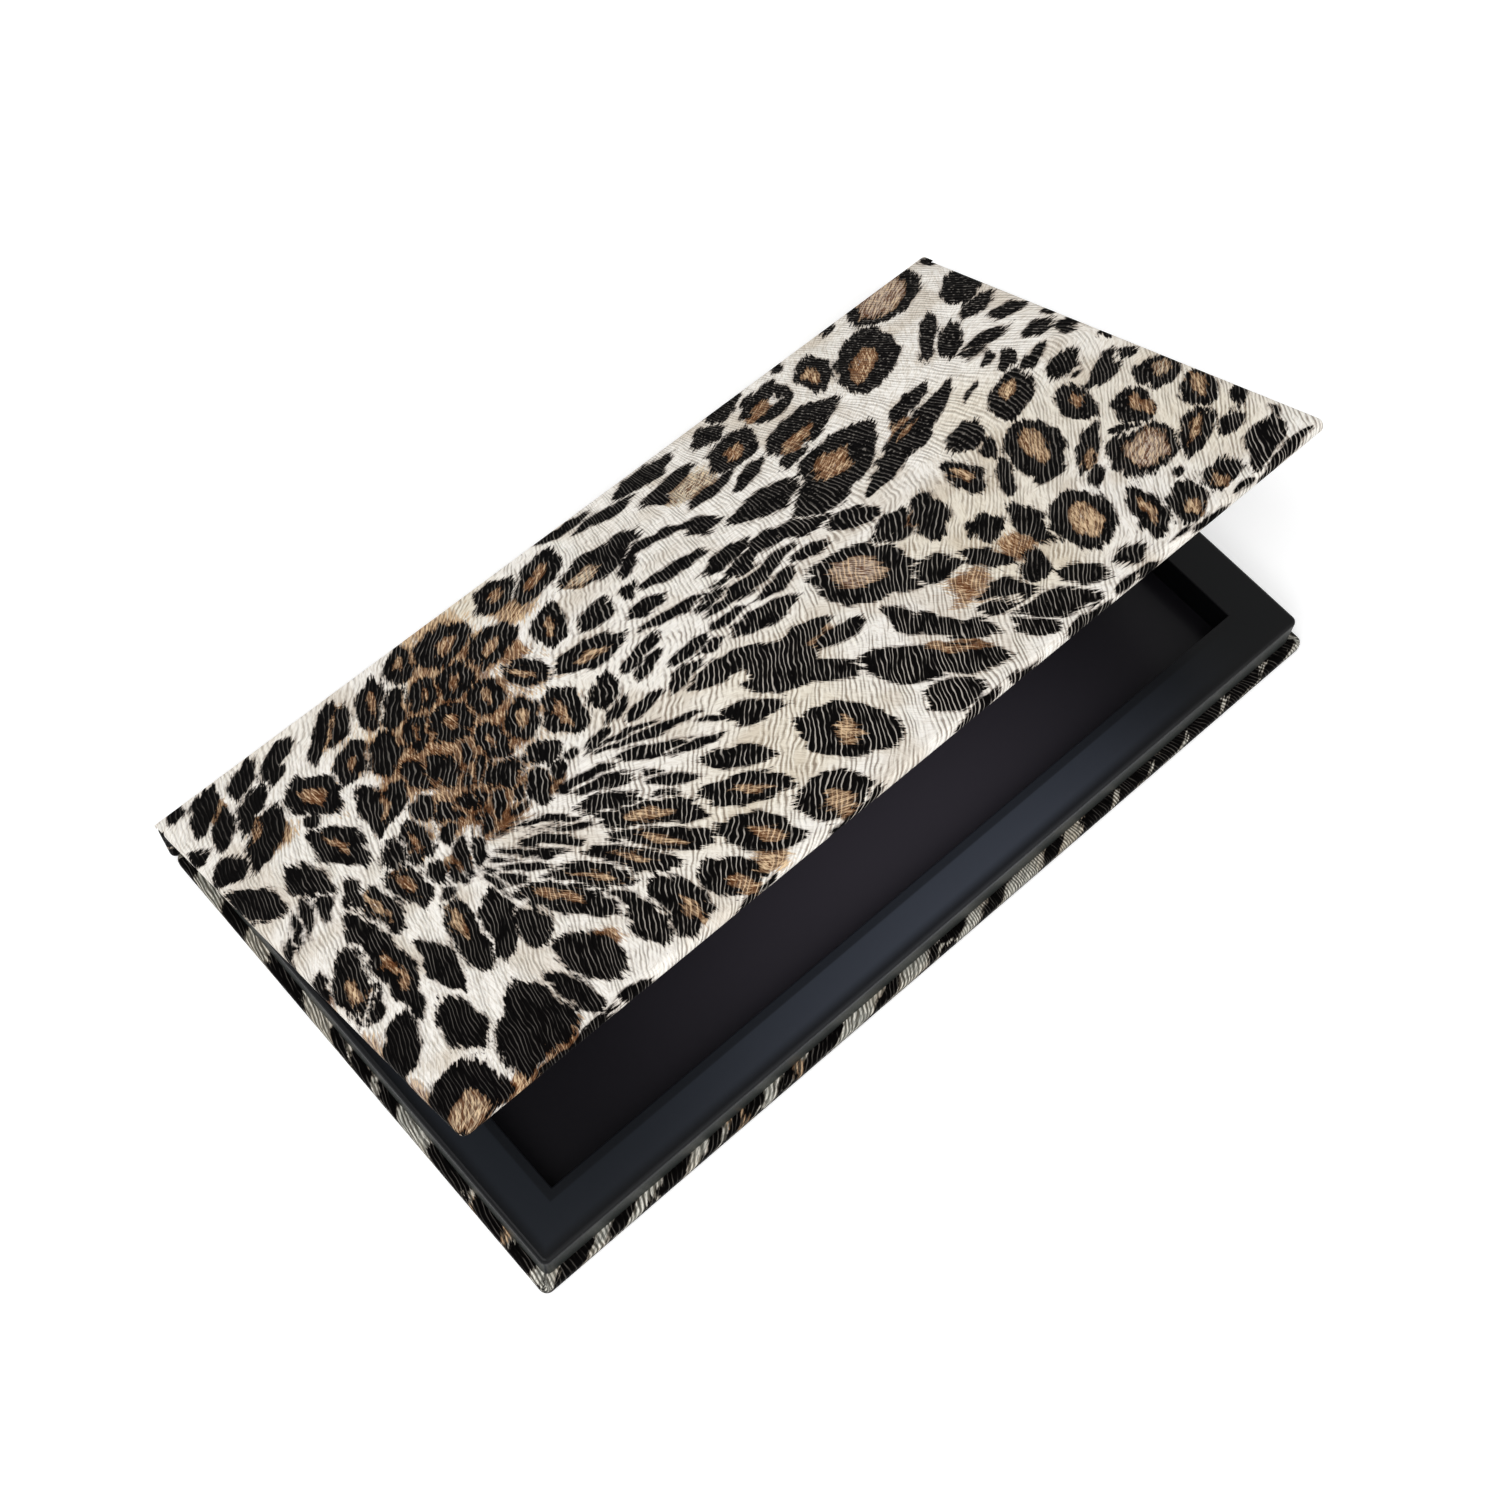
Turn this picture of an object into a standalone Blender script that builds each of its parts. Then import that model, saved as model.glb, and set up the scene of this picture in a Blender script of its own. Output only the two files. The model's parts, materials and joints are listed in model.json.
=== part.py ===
"""Magnetic makeup palette: a book-style paperboard case with a magnetic well for loose pans.

Every board is covered in a printed leatherette wrap whose edges are folded in with mitred
corners. A tray of three die-cut frame layers, covered in glossy black paper, is glued on the base.
The lid turns on the fold at the top of the spine, and disc magnets in both front edges close it.

+X is along the hinge, -Y is the front edge, +Z is up. The origin is the middle of the underside.
"""

import math
from dataclasses import dataclass

import bmesh
import bpy
from mathutils import Vector

# The closed case, seen from above. A corner's round is wider than the round along the edges.
CASE_LENGTH = 0.185
CASE_DEPTH = 0.106
EDGE_RADIUS = 0.0009
CORNER_EXTRA = 0.0007

# Sheets and boards. The glue gap is the paste line between two sheets.
WRAP_THICKNESS = 0.00035
GLUE_GAP = 0.0002
BASE_BOARD_THICKNESS = 0.002
LID_BOARD_THICKNESS = 0.001
SPINE_BOARD_THICKNESS = 0.0012
PAPER_THICKNESS = 0.00025
COVER_THICKNESS = 0.0003

# The wrap's folded-in flaps, and the seam where two flaps meet at a corner.
FLAP_WIDTH = 0.0095
MITRE_SEAM = 0.0003
MITRE_START = 0.0012
MITRE_ANGLE = math.radians(45.0)

# The tray on the base: its inset at the front and sides, and the ledge round the well.
TRAY_INSET = 0.002
LEDGE_WIDTH = 0.0093
TRAY_EDGE_RADIUS = 0.0008
TRAY_CORNER_EXTRA = 0.0005
WELL_EDGE_RADIUS = 0.00025
WELL_EDGE_ANGLE = math.radians(60.0)
FRAME_LAYER_THICKNESS = 0.00225
MAGNET_SHEET_THICKNESS = 0.0006

# The lid: how far it stops short of the base's front edge, its hinge roll, what it leaves clear,
# and how far open it stands.
LID_FRONT_INSET = 0.0013
HINGE_RADIUS = 0.0012
HINGE_CLEARANCE = 0.0003
LID_CLEARANCE = 0.0002
LINING_INSET = 0.0022
OPEN_ANGLE = math.radians(28.5)
ROLL_END_ANGLE = math.radians(150.0)

# The closing magnets, in pairs along the front edge.
MAGNET_DIAMETER = 0.005
MAGNET_CLEARANCE = 0.0002
MAGNET_SPACING = 0.11

# How finely rounds are cut into flats, and how far a cutter runs past what it cuts.
CORNER_SEGMENTS = 5
EDGE_SEGMENTS = 4
WELL_EDGE_SEGMENTS = 2
ROLL_SEGMENTS = 14
MAGNET_SEGMENTS = 32
OVERRUN = 0.002
SHARP_ANGLE = math.radians(40.0)
ROUND_LIMIT_SHARE = 0.45
LEVEL_SHARE = 0.01

# Places that follow from the sizes above.
HALF_LENGTH = CASE_LENGTH / 2
FRONT = -CASE_DEPTH / 2
BACK = CASE_DEPTH / 2
SKIN = WRAP_THICKNESS + GLUE_GAP
CORNER_RADIUS = EDGE_RADIUS + CORNER_EXTRA

BASE_BOARD_TOP = SKIN + BASE_BOARD_THICKNESS
BASE_TOP = BASE_BOARD_TOP + GLUE_GAP + WRAP_THICKNESS

SPINE_BOARD_BACK = BACK - SKIN
SPINE_BOARD_FRONT = SPINE_BOARD_BACK - SPINE_BOARD_THICKNESS
HINGE_STRIP_BACK = SPINE_BOARD_FRONT - GLUE_GAP
HINGE_STRIP_FRONT = HINGE_STRIP_BACK - PAPER_THICKNESS
TRAY_BACK = HINGE_STRIP_FRONT - GLUE_GAP

TRAY_BOTTOM = BASE_TOP + GLUE_GAP
FRAME_LAYER_STEP = FRAME_LAYER_THICKNESS + GLUE_GAP
FRAME_LAYERS = ("frame_layer_lower", "frame_layer_middle", "frame_layer_upper")
FRAME_TOP = TRAY_BOTTOM + len(FRAME_LAYERS) * FRAME_LAYER_STEP - GLUE_GAP
COVER_SKIN = COVER_THICKNESS + GLUE_GAP
TRAY_TOP = FRAME_TOP + COVER_SKIN
TRAY_HALF_LENGTH = HALF_LENGTH - TRAY_INSET
TRAY_FRONT = FRONT + TRAY_INSET
TRAY_CORNER_RADIUS = TRAY_EDGE_RADIUS + TRAY_CORNER_EXTRA

WELL_HALF_LENGTH = TRAY_HALF_LENGTH - LEDGE_WIDTH
WELL_FRONT = TRAY_FRONT + LEDGE_WIDTH
WELL_BACK = TRAY_BACK - LEDGE_WIDTH
MAGNET_SHEET_HALF_LENGTH = min(WELL_HALF_LENGTH, HALF_LENGTH - FLAP_WIDTH) - GLUE_GAP
MAGNET_SHEET_FRONT = max(WELL_FRONT, FRONT + FLAP_WIDTH) + GLUE_GAP
MAGNET_SHEET_BOTTOM = BASE_BOARD_TOP + GLUE_GAP
MAGNET_SHEET_TOP = MAGNET_SHEET_BOTTOM + MAGNET_SHEET_THICKNESS
WELL_FLOOR_BOTTOM = MAGNET_SHEET_TOP + GLUE_GAP
WELL_FLOOR_TOP = WELL_FLOOR_BOTTOM + PAPER_THICKNESS

# Heights in the lid, measured from the hinge axis with the lid closed.
LID_TOP = HINGE_RADIUS
LID_BOARD_TOP = LID_TOP - SKIN
LID_BOARD_BOTTOM = LID_BOARD_TOP - LID_BOARD_THICKNESS
LID_FLAP_BOTTOM = LID_BOARD_BOTTOM - SKIN
LID_LINING_TOP = LID_FLAP_BOTTOM - GLUE_GAP
LID_LINING_BOTTOM = LID_LINING_TOP - PAPER_THICKNESS
AXIS_Y = BACK - HINGE_RADIUS
AXIS_Z = TRAY_TOP + LID_CLEARANCE - LID_LINING_BOTTOM
LID_FRONT = FRONT + LID_FRONT_INSET - AXIS_Y
LID_BACK = -HINGE_RADIUS - HINGE_CLEARANCE
ROLL_BOTTOM = AXIS_Z - HINGE_RADIUS

LEDGE_MIDDLE = TRAY_FRONT + LEDGE_WIDTH / 2
MAGNET_HOLE_DIAMETER = MAGNET_DIAMETER + 2 * MAGNET_CLEARANCE
MAGNET_PLACES = (("left", -MAGNET_SPACING / 2), ("right", MAGNET_SPACING / 2))


@dataclass
class Kit:
    """Where the pieces and their cutters go, and what the pieces are made of."""

    parts: bpy.types.Collection
    cutters: bpy.types.Collection
    looks: dict


def clear_scene():
    for thing in list(bpy.data.objects):
        bpy.data.objects.remove(thing, do_unlink=True)


def new_collection(name):
    collection = bpy.data.collections.new(name)
    bpy.context.scene.collection.children.link(collection)
    return collection


def material(name, colour, roughness, metallic=0.0):
    made = bpy.data.materials.new(name)
    made.use_nodes = True
    shader = made.node_tree.nodes["Principled BSDF"]
    shader.inputs["Base Color"].default_value = (*colour, 1.0)
    shader.inputs["Roughness"].default_value = roughness
    shader.inputs["Metallic"].default_value = metallic
    return made


def make_looks():
    return {
        "print": material("leopard_print_leatherette", (0.52, 0.42, 0.32), 0.45),
        "greyboard": material("greyboard", (0.33, 0.31, 0.28), 0.9),
        "black_gloss": material("black_coated_paper", (0.012, 0.013, 0.016), 0.18),
        "black_paper": material("black_lining_paper", (0.015, 0.015, 0.017), 0.5),
        "magnet_rubber": material("magnetic_rubber", (0.03, 0.027, 0.025), 0.7),
        "nickel": material("nickel_plate", (0.62, 0.6, 0.57), 0.25, metallic=1.0),
    }


def place(kit, bm, name, location, look, parent):
    """Turns the mesh into a named piece at its place, or into a cutter if it has no look."""
    mesh = bpy.data.meshes.new(name)
    bm.to_mesh(mesh)
    bm.free()
    made = bpy.data.objects.new(name, mesh)
    made.location = location
    made.parent = parent
    if look:
        kit.parts.objects.link(made)
        mesh.materials.append(kit.looks[look])
        mesh.shade_smooth()
        mesh.set_sharp_from_angle(angle=SHARP_ANGLE)
    else:
        kit.cutters.objects.link(made)
        made.hide_render = True
        made.display_type = "WIRE"
    return made


def rounded(bm, edges, radius, thickness, segments):
    """Rounds the edges, no wider than the wall that they are on allows."""
    radius = min(radius, ROUND_LIMIT_SHARE * thickness)
    if radius > 0:
        bmesh.ops.bevel(
            bm,
            geom=edges,
            offset=radius,
            segments=segments,
            profile=0.5,
            affect="EDGES",
        )


def rim(bm, height):
    """The edges whose two ends lie at this height."""
    slack = LEVEL_SHARE * abs(height)
    return [
        edge
        for edge in bm.edges
        if all(abs(vert.co.z - height) < slack for vert in edge.verts)
    ]


def block(kit, name, low, high, look=None, parent=None, corner=0.0, top=0.0, bottom=0.0):
    """A box between two corners, with its upright edges, top rim and bottom rim rounded."""
    low = Vector(low)
    size = Vector(high) - low
    bm = bmesh.new()
    bmesh.ops.create_cube(bm, size=1.0)
    bmesh.ops.scale(bm, vec=size, verts=bm.verts)
    upright = [
        edge for edge in bm.edges if abs(edge.verts[0].co.z - edge.verts[1].co.z) > size.z / 2
    ]
    rounded(bm, upright, corner, min(size.x, size.y), CORNER_SEGMENTS)
    rounded(bm, rim(bm, size.z / 2), top, min(size), EDGE_SEGMENTS)
    rounded(bm, rim(bm, -size.z / 2), bottom, min(size), EDGE_SEGMENTS)
    return place(kit, bm, name, low + size / 2, look, parent)


def disc(kit, name, centre, diameter, height, look=None, parent=None):
    bm = bmesh.new()
    bmesh.ops.create_cone(
        bm,
        cap_ends=True,
        segments=MAGNET_SEGMENTS,
        radius1=diameter / 2,
        radius2=diameter / 2,
        depth=height,
    )
    return place(kit, bm, name, centre, look, parent)


def cut(target, cutter):
    modifier = target.modifiers.new(f"less {cutter.name}", "BOOLEAN")
    modifier.operation = "DIFFERENCE"
    modifier.solver = "EXACT"
    modifier.object = cutter


def less(radius, sheet):
    """The radius left inside a sheet of this thickness."""
    return max(radius - sheet, 0.0)


def folded_wrap(kit, name, low, high, flaps_up, back_wall, parent=None):
    """A wrap round a board: outer sheet, edge walls, and flaps folded in over three edges.

    flaps_up says whether the flaps lie on the upper face, as on the base, or under it, as on
    the lid. back_wall closes the back end too, as where the lid's wrap turns down to the spine.
    """
    _, front, bottom = low
    _, back, top = high
    wrap = block(
        kit, name, low, high, "print", parent, CORNER_RADIUS, EDGE_RADIUS, EDGE_RADIUS
    )
    inner_back = back - WRAP_THICKNESS if back_wall else back + OVERRUN
    inner_edge = less(EDGE_RADIUS, WRAP_THICKNESS)
    hollow = block(
        kit,
        f"{name}_hollow",
        (-HALF_LENGTH + WRAP_THICKNESS, front + WRAP_THICKNESS, bottom + WRAP_THICKNESS),
        (HALF_LENGTH - WRAP_THICKNESS, inner_back, top - WRAP_THICKNESS),
        parent=parent,
        corner=less(CORNER_RADIUS, WRAP_THICKNESS),
        top=inner_edge,
        bottom=inner_edge,
    )
    middle = (bottom + top) / 2
    mouth_low, mouth_high = (middle, top + OVERRUN) if flaps_up else (bottom - OVERRUN, middle)
    mouth = block(
        kit,
        f"{name}_mouth",
        (-HALF_LENGTH + FLAP_WIDTH, front + FLAP_WIDTH, mouth_low),
        (HALF_LENGTH - FLAP_WIDTH, inner_back, mouth_high),
        parent=parent,
    )
    cut(wrap, hollow)
    cut(wrap, mouth)
    for side in (-1, 1):
        cut(wrap, mitre_blade(kit, name, side, front, mouth_low, mouth_high, parent))
    return wrap


def mitre_blade(kit, name, side, front, low, high, parent):
    """A thin diagonal cutter that parts the two flaps at a front corner."""
    reach = FLAP_WIDTH - MITRE_START + MITRE_SEAM
    half_blade = Vector((reach / math.cos(MITRE_ANGLE), MITRE_SEAM, high - low)) / 2
    blade = block(
        kit,
        f"{name}_mitre_{'right' if side > 0 else 'left'}",
        -half_blade,
        half_blade,
        parent=parent,
    )
    middle = MITRE_START + reach / 2
    blade.location = (side * (HALF_LENGTH - middle), front + middle, (low + high) / 2)
    blade.rotation_euler.z = -side * MITRE_ANGLE
    return blade


def base_parts(kit):
    board_edge = less(EDGE_RADIUS, SKIN)
    block(
        kit,
        "base_board",
        (-HALF_LENGTH + SKIN, FRONT + SKIN, SKIN),
        (HALF_LENGTH - SKIN, TRAY_BACK, BASE_BOARD_TOP),
        "greyboard",
        corner=less(CORNER_RADIUS, SKIN),
        top=board_edge,
        bottom=board_edge,
    )
    wrap = folded_wrap(
        kit,
        "base_wrap",
        (-HALF_LENGTH, FRONT, 0.0),
        (HALF_LENGTH, TRAY_BACK + OVERRUN, BASE_TOP),
        flaps_up=True,
        back_wall=False,
    )
    back_trim = block(
        kit,
        "base_wrap_back_trim",
        (-HALF_LENGTH - OVERRUN, TRAY_BACK, -OVERRUN),
        (HALF_LENGTH + OVERRUN, TRAY_BACK + 2 * OVERRUN, BASE_TOP + OVERRUN),
    )
    cut(wrap, back_trim)


def arc(centre, radius, start, end, segments):
    """Points along an arc in the plane across the hinge, as (y, z)."""
    angles = (start + (end - start) * step / segments for step in range(segments + 1))
    return [
        (centre[0] + radius * math.cos(angle), centre[1] + radius * math.sin(angle))
        for angle in angles
    ]


def spine_profile():
    """The wrap's outer line behind the case, from under the base, up the spine and over the roll."""
    lower_edge = (BACK - EDGE_RADIUS, EDGE_RADIUS)
    return [
        (HINGE_STRIP_FRONT, 0.0),
        *arc(lower_edge, EDGE_RADIUS, -math.pi / 2, 0.0, EDGE_SEGMENTS),
        *arc((AXIS_Y, AXIS_Z), HINGE_RADIUS, 0.0, ROLL_END_ANGLE, ROLL_SEGMENTS),
    ]


def spine_wrap(kit):
    """One sheet swept along the case's length, with its thickness to the inside."""
    bm = bmesh.new()
    line = [bm.verts.new((HALF_LENGTH, y, z)) for y, z in spine_profile()]
    edges = [bm.edges.new(pair) for pair in zip(line, line[1:])]
    swept = bmesh.ops.extrude_edge_only(bm, edges=edges)
    far = [item for item in swept["geom"] if isinstance(item, bmesh.types.BMVert)]
    bmesh.ops.translate(bm, vec=(-CASE_LENGTH, 0, 0), verts=far)
    bmesh.ops.recalc_face_normals(bm, faces=bm.faces)
    if sum(face.normal.y * face.calc_area() for face in bm.faces) < 0:
        bmesh.ops.reverse_faces(bm, faces=bm.faces)
    wrap = place(kit, bm, "spine_wrap", (0, 0, 0), "print", None)
    sheet = wrap.modifiers.new("sheet", "SOLIDIFY")
    sheet.thickness = WRAP_THICKNESS
    sheet.offset = -1.0
    sheet.use_even_offset = True


def spine_parts(kit):
    spine_wrap(kit)
    block(
        kit,
        "spine_board",
        (-HALF_LENGTH + SKIN, SPINE_BOARD_FRONT, SKIN),
        (HALF_LENGTH - SKIN, SPINE_BOARD_BACK, ROLL_BOTTOM - GLUE_GAP),
        "greyboard",
        bottom=less(EDGE_RADIUS, SKIN),
    )
    block(
        kit,
        "hinge_strip",
        (-TRAY_HALF_LENGTH, HINGE_STRIP_FRONT, SKIN),
        (TRAY_HALF_LENGTH, HINGE_STRIP_BACK, ROLL_BOTTOM - GLUE_GAP),
        "black_paper",
    )


def frame_layer(kit, name, low, edge=0.0):
    """One die-cut layer of the tray's frame, a flat ring round the well."""
    high = low + FRAME_LAYER_THICKNESS
    layer = block(
        kit,
        name,
        (-TRAY_HALF_LENGTH + COVER_SKIN, TRAY_FRONT + COVER_SKIN, low),
        (TRAY_HALF_LENGTH - COVER_SKIN, TRAY_BACK - COVER_SKIN, high),
        "greyboard",
        corner=less(TRAY_CORNER_RADIUS, COVER_SKIN),
        top=edge,
    )
    window = block(
        kit,
        f"{name}_window",
        (-WELL_HALF_LENGTH - COVER_SKIN, WELL_FRONT - COVER_SKIN, low - OVERRUN),
        (WELL_HALF_LENGTH + COVER_SKIN, WELL_BACK + COVER_SKIN, high + OVERRUN),
    )
    cut(layer, window)
    return layer


def set_magnets(kit, board, body, place_y, place_z, thickness, parent=None):
    """A pair of disc magnets, each let into a hole right through its board."""
    for side, place_x in MAGNET_PLACES:
        centre = (place_x, place_y, place_z)
        hole = disc(
            kit,
            f"{body}_magnet_hole_{side}",
            centre,
            MAGNET_HOLE_DIAMETER,
            thickness + 2 * OVERRUN,
            parent=parent,
        )
        cut(board, hole)
        disc(
            kit,
            f"{body}_magnet_{side}",
            centre,
            MAGNET_DIAMETER,
            thickness - MAGNET_CLEARANCE,
            "nickel",
            parent,
        )


def tray_parts(kit):
    *lower_layers, top_layer = FRAME_LAYERS
    for level, name in enumerate(lower_layers):
        frame_layer(kit, name, TRAY_BOTTOM + level * FRAME_LAYER_STEP)
    top_layer_low = FRAME_TOP - FRAME_LAYER_THICKNESS
    layer = frame_layer(kit, top_layer, top_layer_low, less(TRAY_EDGE_RADIUS, COVER_SKIN))
    middle = (top_layer_low + FRAME_TOP) / 2
    set_magnets(kit, layer, "tray", LEDGE_MIDDLE, middle, FRAME_LAYER_THICKNESS)
    tray_cover(kit)
    block(
        kit,
        "magnet_sheet",
        (-MAGNET_SHEET_HALF_LENGTH, MAGNET_SHEET_FRONT, MAGNET_SHEET_BOTTOM),
        (MAGNET_SHEET_HALF_LENGTH, WELL_BACK - GLUE_GAP, MAGNET_SHEET_TOP),
        "magnet_rubber",
    )
    block(
        kit,
        "well_lining",
        (-WELL_HALF_LENGTH + GLUE_GAP, WELL_FRONT + GLUE_GAP, WELL_FLOOR_BOTTOM),
        (WELL_HALF_LENGTH - GLUE_GAP, WELL_BACK - GLUE_GAP, WELL_FLOOR_TOP),
        "black_gloss",
    )


def tray_cover(kit):
    """The black paper over the frame: down its outside, across the ledge and down into the well."""
    below = TRAY_BOTTOM - OVERRUN
    cover = block(
        kit,
        "tray_cover",
        (-TRAY_HALF_LENGTH, TRAY_FRONT, below),
        (TRAY_HALF_LENGTH, TRAY_BACK, TRAY_TOP),
        "black_gloss",
        corner=TRAY_CORNER_RADIUS,
        top=TRAY_EDGE_RADIUS,
    )
    well = block(
        kit,
        "tray_cover_well",
        (-WELL_HALF_LENGTH, WELL_FRONT, below - OVERRUN),
        (WELL_HALF_LENGTH, WELL_BACK, TRAY_TOP + OVERRUN),
    )
    channel = block(
        kit,
        "tray_cover_channel",
        (-TRAY_HALF_LENGTH + COVER_THICKNESS, TRAY_FRONT + COVER_THICKNESS, below - OVERRUN),
        (TRAY_HALF_LENGTH - COVER_THICKNESS, TRAY_BACK - COVER_THICKNESS, FRAME_TOP + GLUE_GAP),
        corner=less(TRAY_CORNER_RADIUS, COVER_THICKNESS),
        top=less(TRAY_EDGE_RADIUS, COVER_THICKNESS),
    )
    island = block(
        kit,
        "tray_cover_channel_island",
        (-WELL_HALF_LENGTH - COVER_THICKNESS, WELL_FRONT - COVER_THICKNESS, below - 2 * OVERRUN),
        (WELL_HALF_LENGTH + COVER_THICKNESS, WELL_BACK + COVER_THICKNESS, TRAY_TOP + OVERRUN),
    )
    trim = block(
        kit,
        "tray_cover_trim",
        (-HALF_LENGTH, FRONT, below - 2 * OVERRUN),
        (HALF_LENGTH, BACK, TRAY_BOTTOM),
    )
    cut(cover, well)
    soften = cover.modifiers.new("well edge", "BEVEL")
    soften.width = WELL_EDGE_RADIUS
    soften.segments = WELL_EDGE_SEGMENTS
    soften.limit_method = "ANGLE"
    soften.angle_limit = WELL_EDGE_ANGLE
    cut(channel, island)
    cut(cover, channel)
    cut(cover, trim)


def lid_parts(kit):
    hinge = bpy.data.objects.new("lid_hinge", None)
    hinge.location = (0, AXIS_Y, AXIS_Z)
    hinge.rotation_euler.x = -OPEN_ANGLE
    kit.parts.objects.link(hinge)

    folded_wrap(
        kit,
        "lid_wrap",
        (-HALF_LENGTH, LID_FRONT, LID_FLAP_BOTTOM),
        (HALF_LENGTH, LID_BACK, LID_TOP),
        flaps_up=False,
        back_wall=True,
        parent=hinge,
    )
    board_edge = less(EDGE_RADIUS, SKIN)
    board = block(
        kit,
        "lid_board",
        (-HALF_LENGTH + SKIN, LID_FRONT + SKIN, LID_BOARD_BOTTOM),
        (HALF_LENGTH - SKIN, LID_BACK - SKIN, LID_BOARD_TOP),
        "greyboard",
        hinge,
        corner=less(CORNER_RADIUS, SKIN),
        top=board_edge,
        bottom=board_edge,
    )
    block(
        kit,
        "lid_lining",
        (-HALF_LENGTH + LINING_INSET, LID_FRONT + LINING_INSET, LID_LINING_BOTTOM),
        (HALF_LENGTH - LINING_INSET, LID_BACK, LID_LINING_TOP),
        "black_paper",
        hinge,
    )
    middle = (LID_BOARD_TOP + LID_BOARD_BOTTOM) / 2
    set_magnets(kit, board, "lid", LEDGE_MIDDLE - AXIS_Y, middle, LID_BOARD_THICKNESS, hinge)


def main():
    clear_scene()
    kit = Kit(
        parts=new_collection("magnetic_makeup_palette"),
        cutters=new_collection("cutters"),
        looks=make_looks(),
    )
    base_parts(kit)
    spine_parts(kit)
    tray_parts(kit)
    lid_parts(kit)


main()
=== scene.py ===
"""Looks of the magnetic makeup palette: printed leatherette skins, satin black paper, and the studio.

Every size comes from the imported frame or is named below. Lengths are in metres. The print is laid out
in millimetres on the flat sheet: x from the left end of the hinge, y from the hinge axis to the front.
The base's sheet starts at its front left corner, and its front and left edges lie below zero on it.
"""

import json
import math
from dataclasses import dataclass

import bmesh
import bpy
import numpy as np
from mathutils import Matrix, Vector


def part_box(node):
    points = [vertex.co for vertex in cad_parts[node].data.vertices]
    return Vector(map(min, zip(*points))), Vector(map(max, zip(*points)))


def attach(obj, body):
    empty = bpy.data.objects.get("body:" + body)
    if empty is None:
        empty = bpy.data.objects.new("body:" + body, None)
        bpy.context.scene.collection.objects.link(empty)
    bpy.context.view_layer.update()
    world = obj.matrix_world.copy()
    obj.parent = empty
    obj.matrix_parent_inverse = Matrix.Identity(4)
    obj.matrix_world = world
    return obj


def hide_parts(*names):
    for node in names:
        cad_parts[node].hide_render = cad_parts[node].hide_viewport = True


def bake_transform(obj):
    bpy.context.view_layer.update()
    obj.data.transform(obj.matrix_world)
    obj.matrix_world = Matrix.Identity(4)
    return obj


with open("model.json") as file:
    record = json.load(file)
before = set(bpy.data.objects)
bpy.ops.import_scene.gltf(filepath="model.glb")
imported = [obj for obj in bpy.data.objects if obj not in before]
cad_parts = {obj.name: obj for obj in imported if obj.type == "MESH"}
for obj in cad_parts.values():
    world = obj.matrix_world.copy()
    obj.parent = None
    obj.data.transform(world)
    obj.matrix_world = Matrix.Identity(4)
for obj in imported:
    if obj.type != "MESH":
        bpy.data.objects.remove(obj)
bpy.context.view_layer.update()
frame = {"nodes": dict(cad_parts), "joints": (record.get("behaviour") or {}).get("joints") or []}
NODES = frame["nodes"]

MM = 0.001

# The camera that the photograph was taken with, found from the case's corners and edges.
CAMERA_AZIMUTH = math.radians(-44.736)
CAMERA_ELEVATION = math.radians(65.45)
CAMERA_ROLL = math.radians(3.36)
CAMERA_DISTANCE = 0.43652
CAMERA_TARGET = Vector((-0.0002, -0.0004, 0.0))
PHOTO_WIDTH = 1500
FOCAL_PIXELS = 2367.3
SENSOR_WIDTH = 36.0

# The wrap: its sheet, rounded edges and folded-in flaps, the spine's gap to the strip behind it and where
# its sheet starts, the pitch of each panel's points, the steps round a corner, over a rounded edge and
# along a flap, the grid that points are welded on, and the angle from which an edge is drawn sharp.
WRAP_THICKNESS = 0.35 * MM
EDGE_RADIUS = 0.9 * MM
CORNER_RADIUS = 1.5 * MM
FLAP_WIDTH = 9.5 * MM
SPINE_FLAP_WIDTH = 4.0 * MM
SPINE_CLEARANCE = 0.05 * MM
SPINE_START = 1.3 * MM
LID_PITCH = 0.56 * MM
BASE_PITCH = 0.62 * MM
SPINE_PITCH = 0.6 * MM
CORNER_STEPS = 6
ARC_STEPS = 5
FLAP_STEPS = 5
WELD_GRID = 0.01 * MM
SHARP_ANGLE = math.radians(50)

# The fold over the hinge: its sheet and its lining, the lining's distance from the axis where it leaves
# the base and where it meets the lid, the turns in degrees there, and the steps round each bend.
FOLD_THICKNESS = 0.2 * MM
FOLD_STEPS = 12
LINING_THICKNESS = 0.12 * MM
LINING_PITCH = 4 * MM
LINING_RADII = (1.64 * MM, 2.02 * MM)
LINING_FIRST_TURN = 232.0
LINING_PAST_LID = 42.0
LINING_STEPS = 8

# The studio: how brightly rays that light the object see the surroundings, the floor's colour and its
# glow to the rays that show it, and the soft lamps (name, place, size, watts), which face the origin.
WORLD_LIGHT = 0.34
FLOOR_SIZE = 4.0
FLOOR_COLOUR = (0.86, 0.86, 0.86)
FLOOR_GLOW = 0.3
LAMPS = (
    ("key", (-0.5, -0.2, 0.9), 0.7, 7.0),
    ("front", (0.2, -0.8, 0.8), 0.8, 3.8),
    ("back", (-0.2, 0.9, 0.6), 0.6, 2.2),
)


def srgb(*levels):
    """A colour as seen on screen, 0 to 255, as the linear colour that a shader takes."""
    shares = (level / 255 for level in levels)
    return tuple(s / 12.92 if s <= 0.04045 else ((s + 0.055) / 1.055) ** 2.4 for s in shares)


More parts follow.
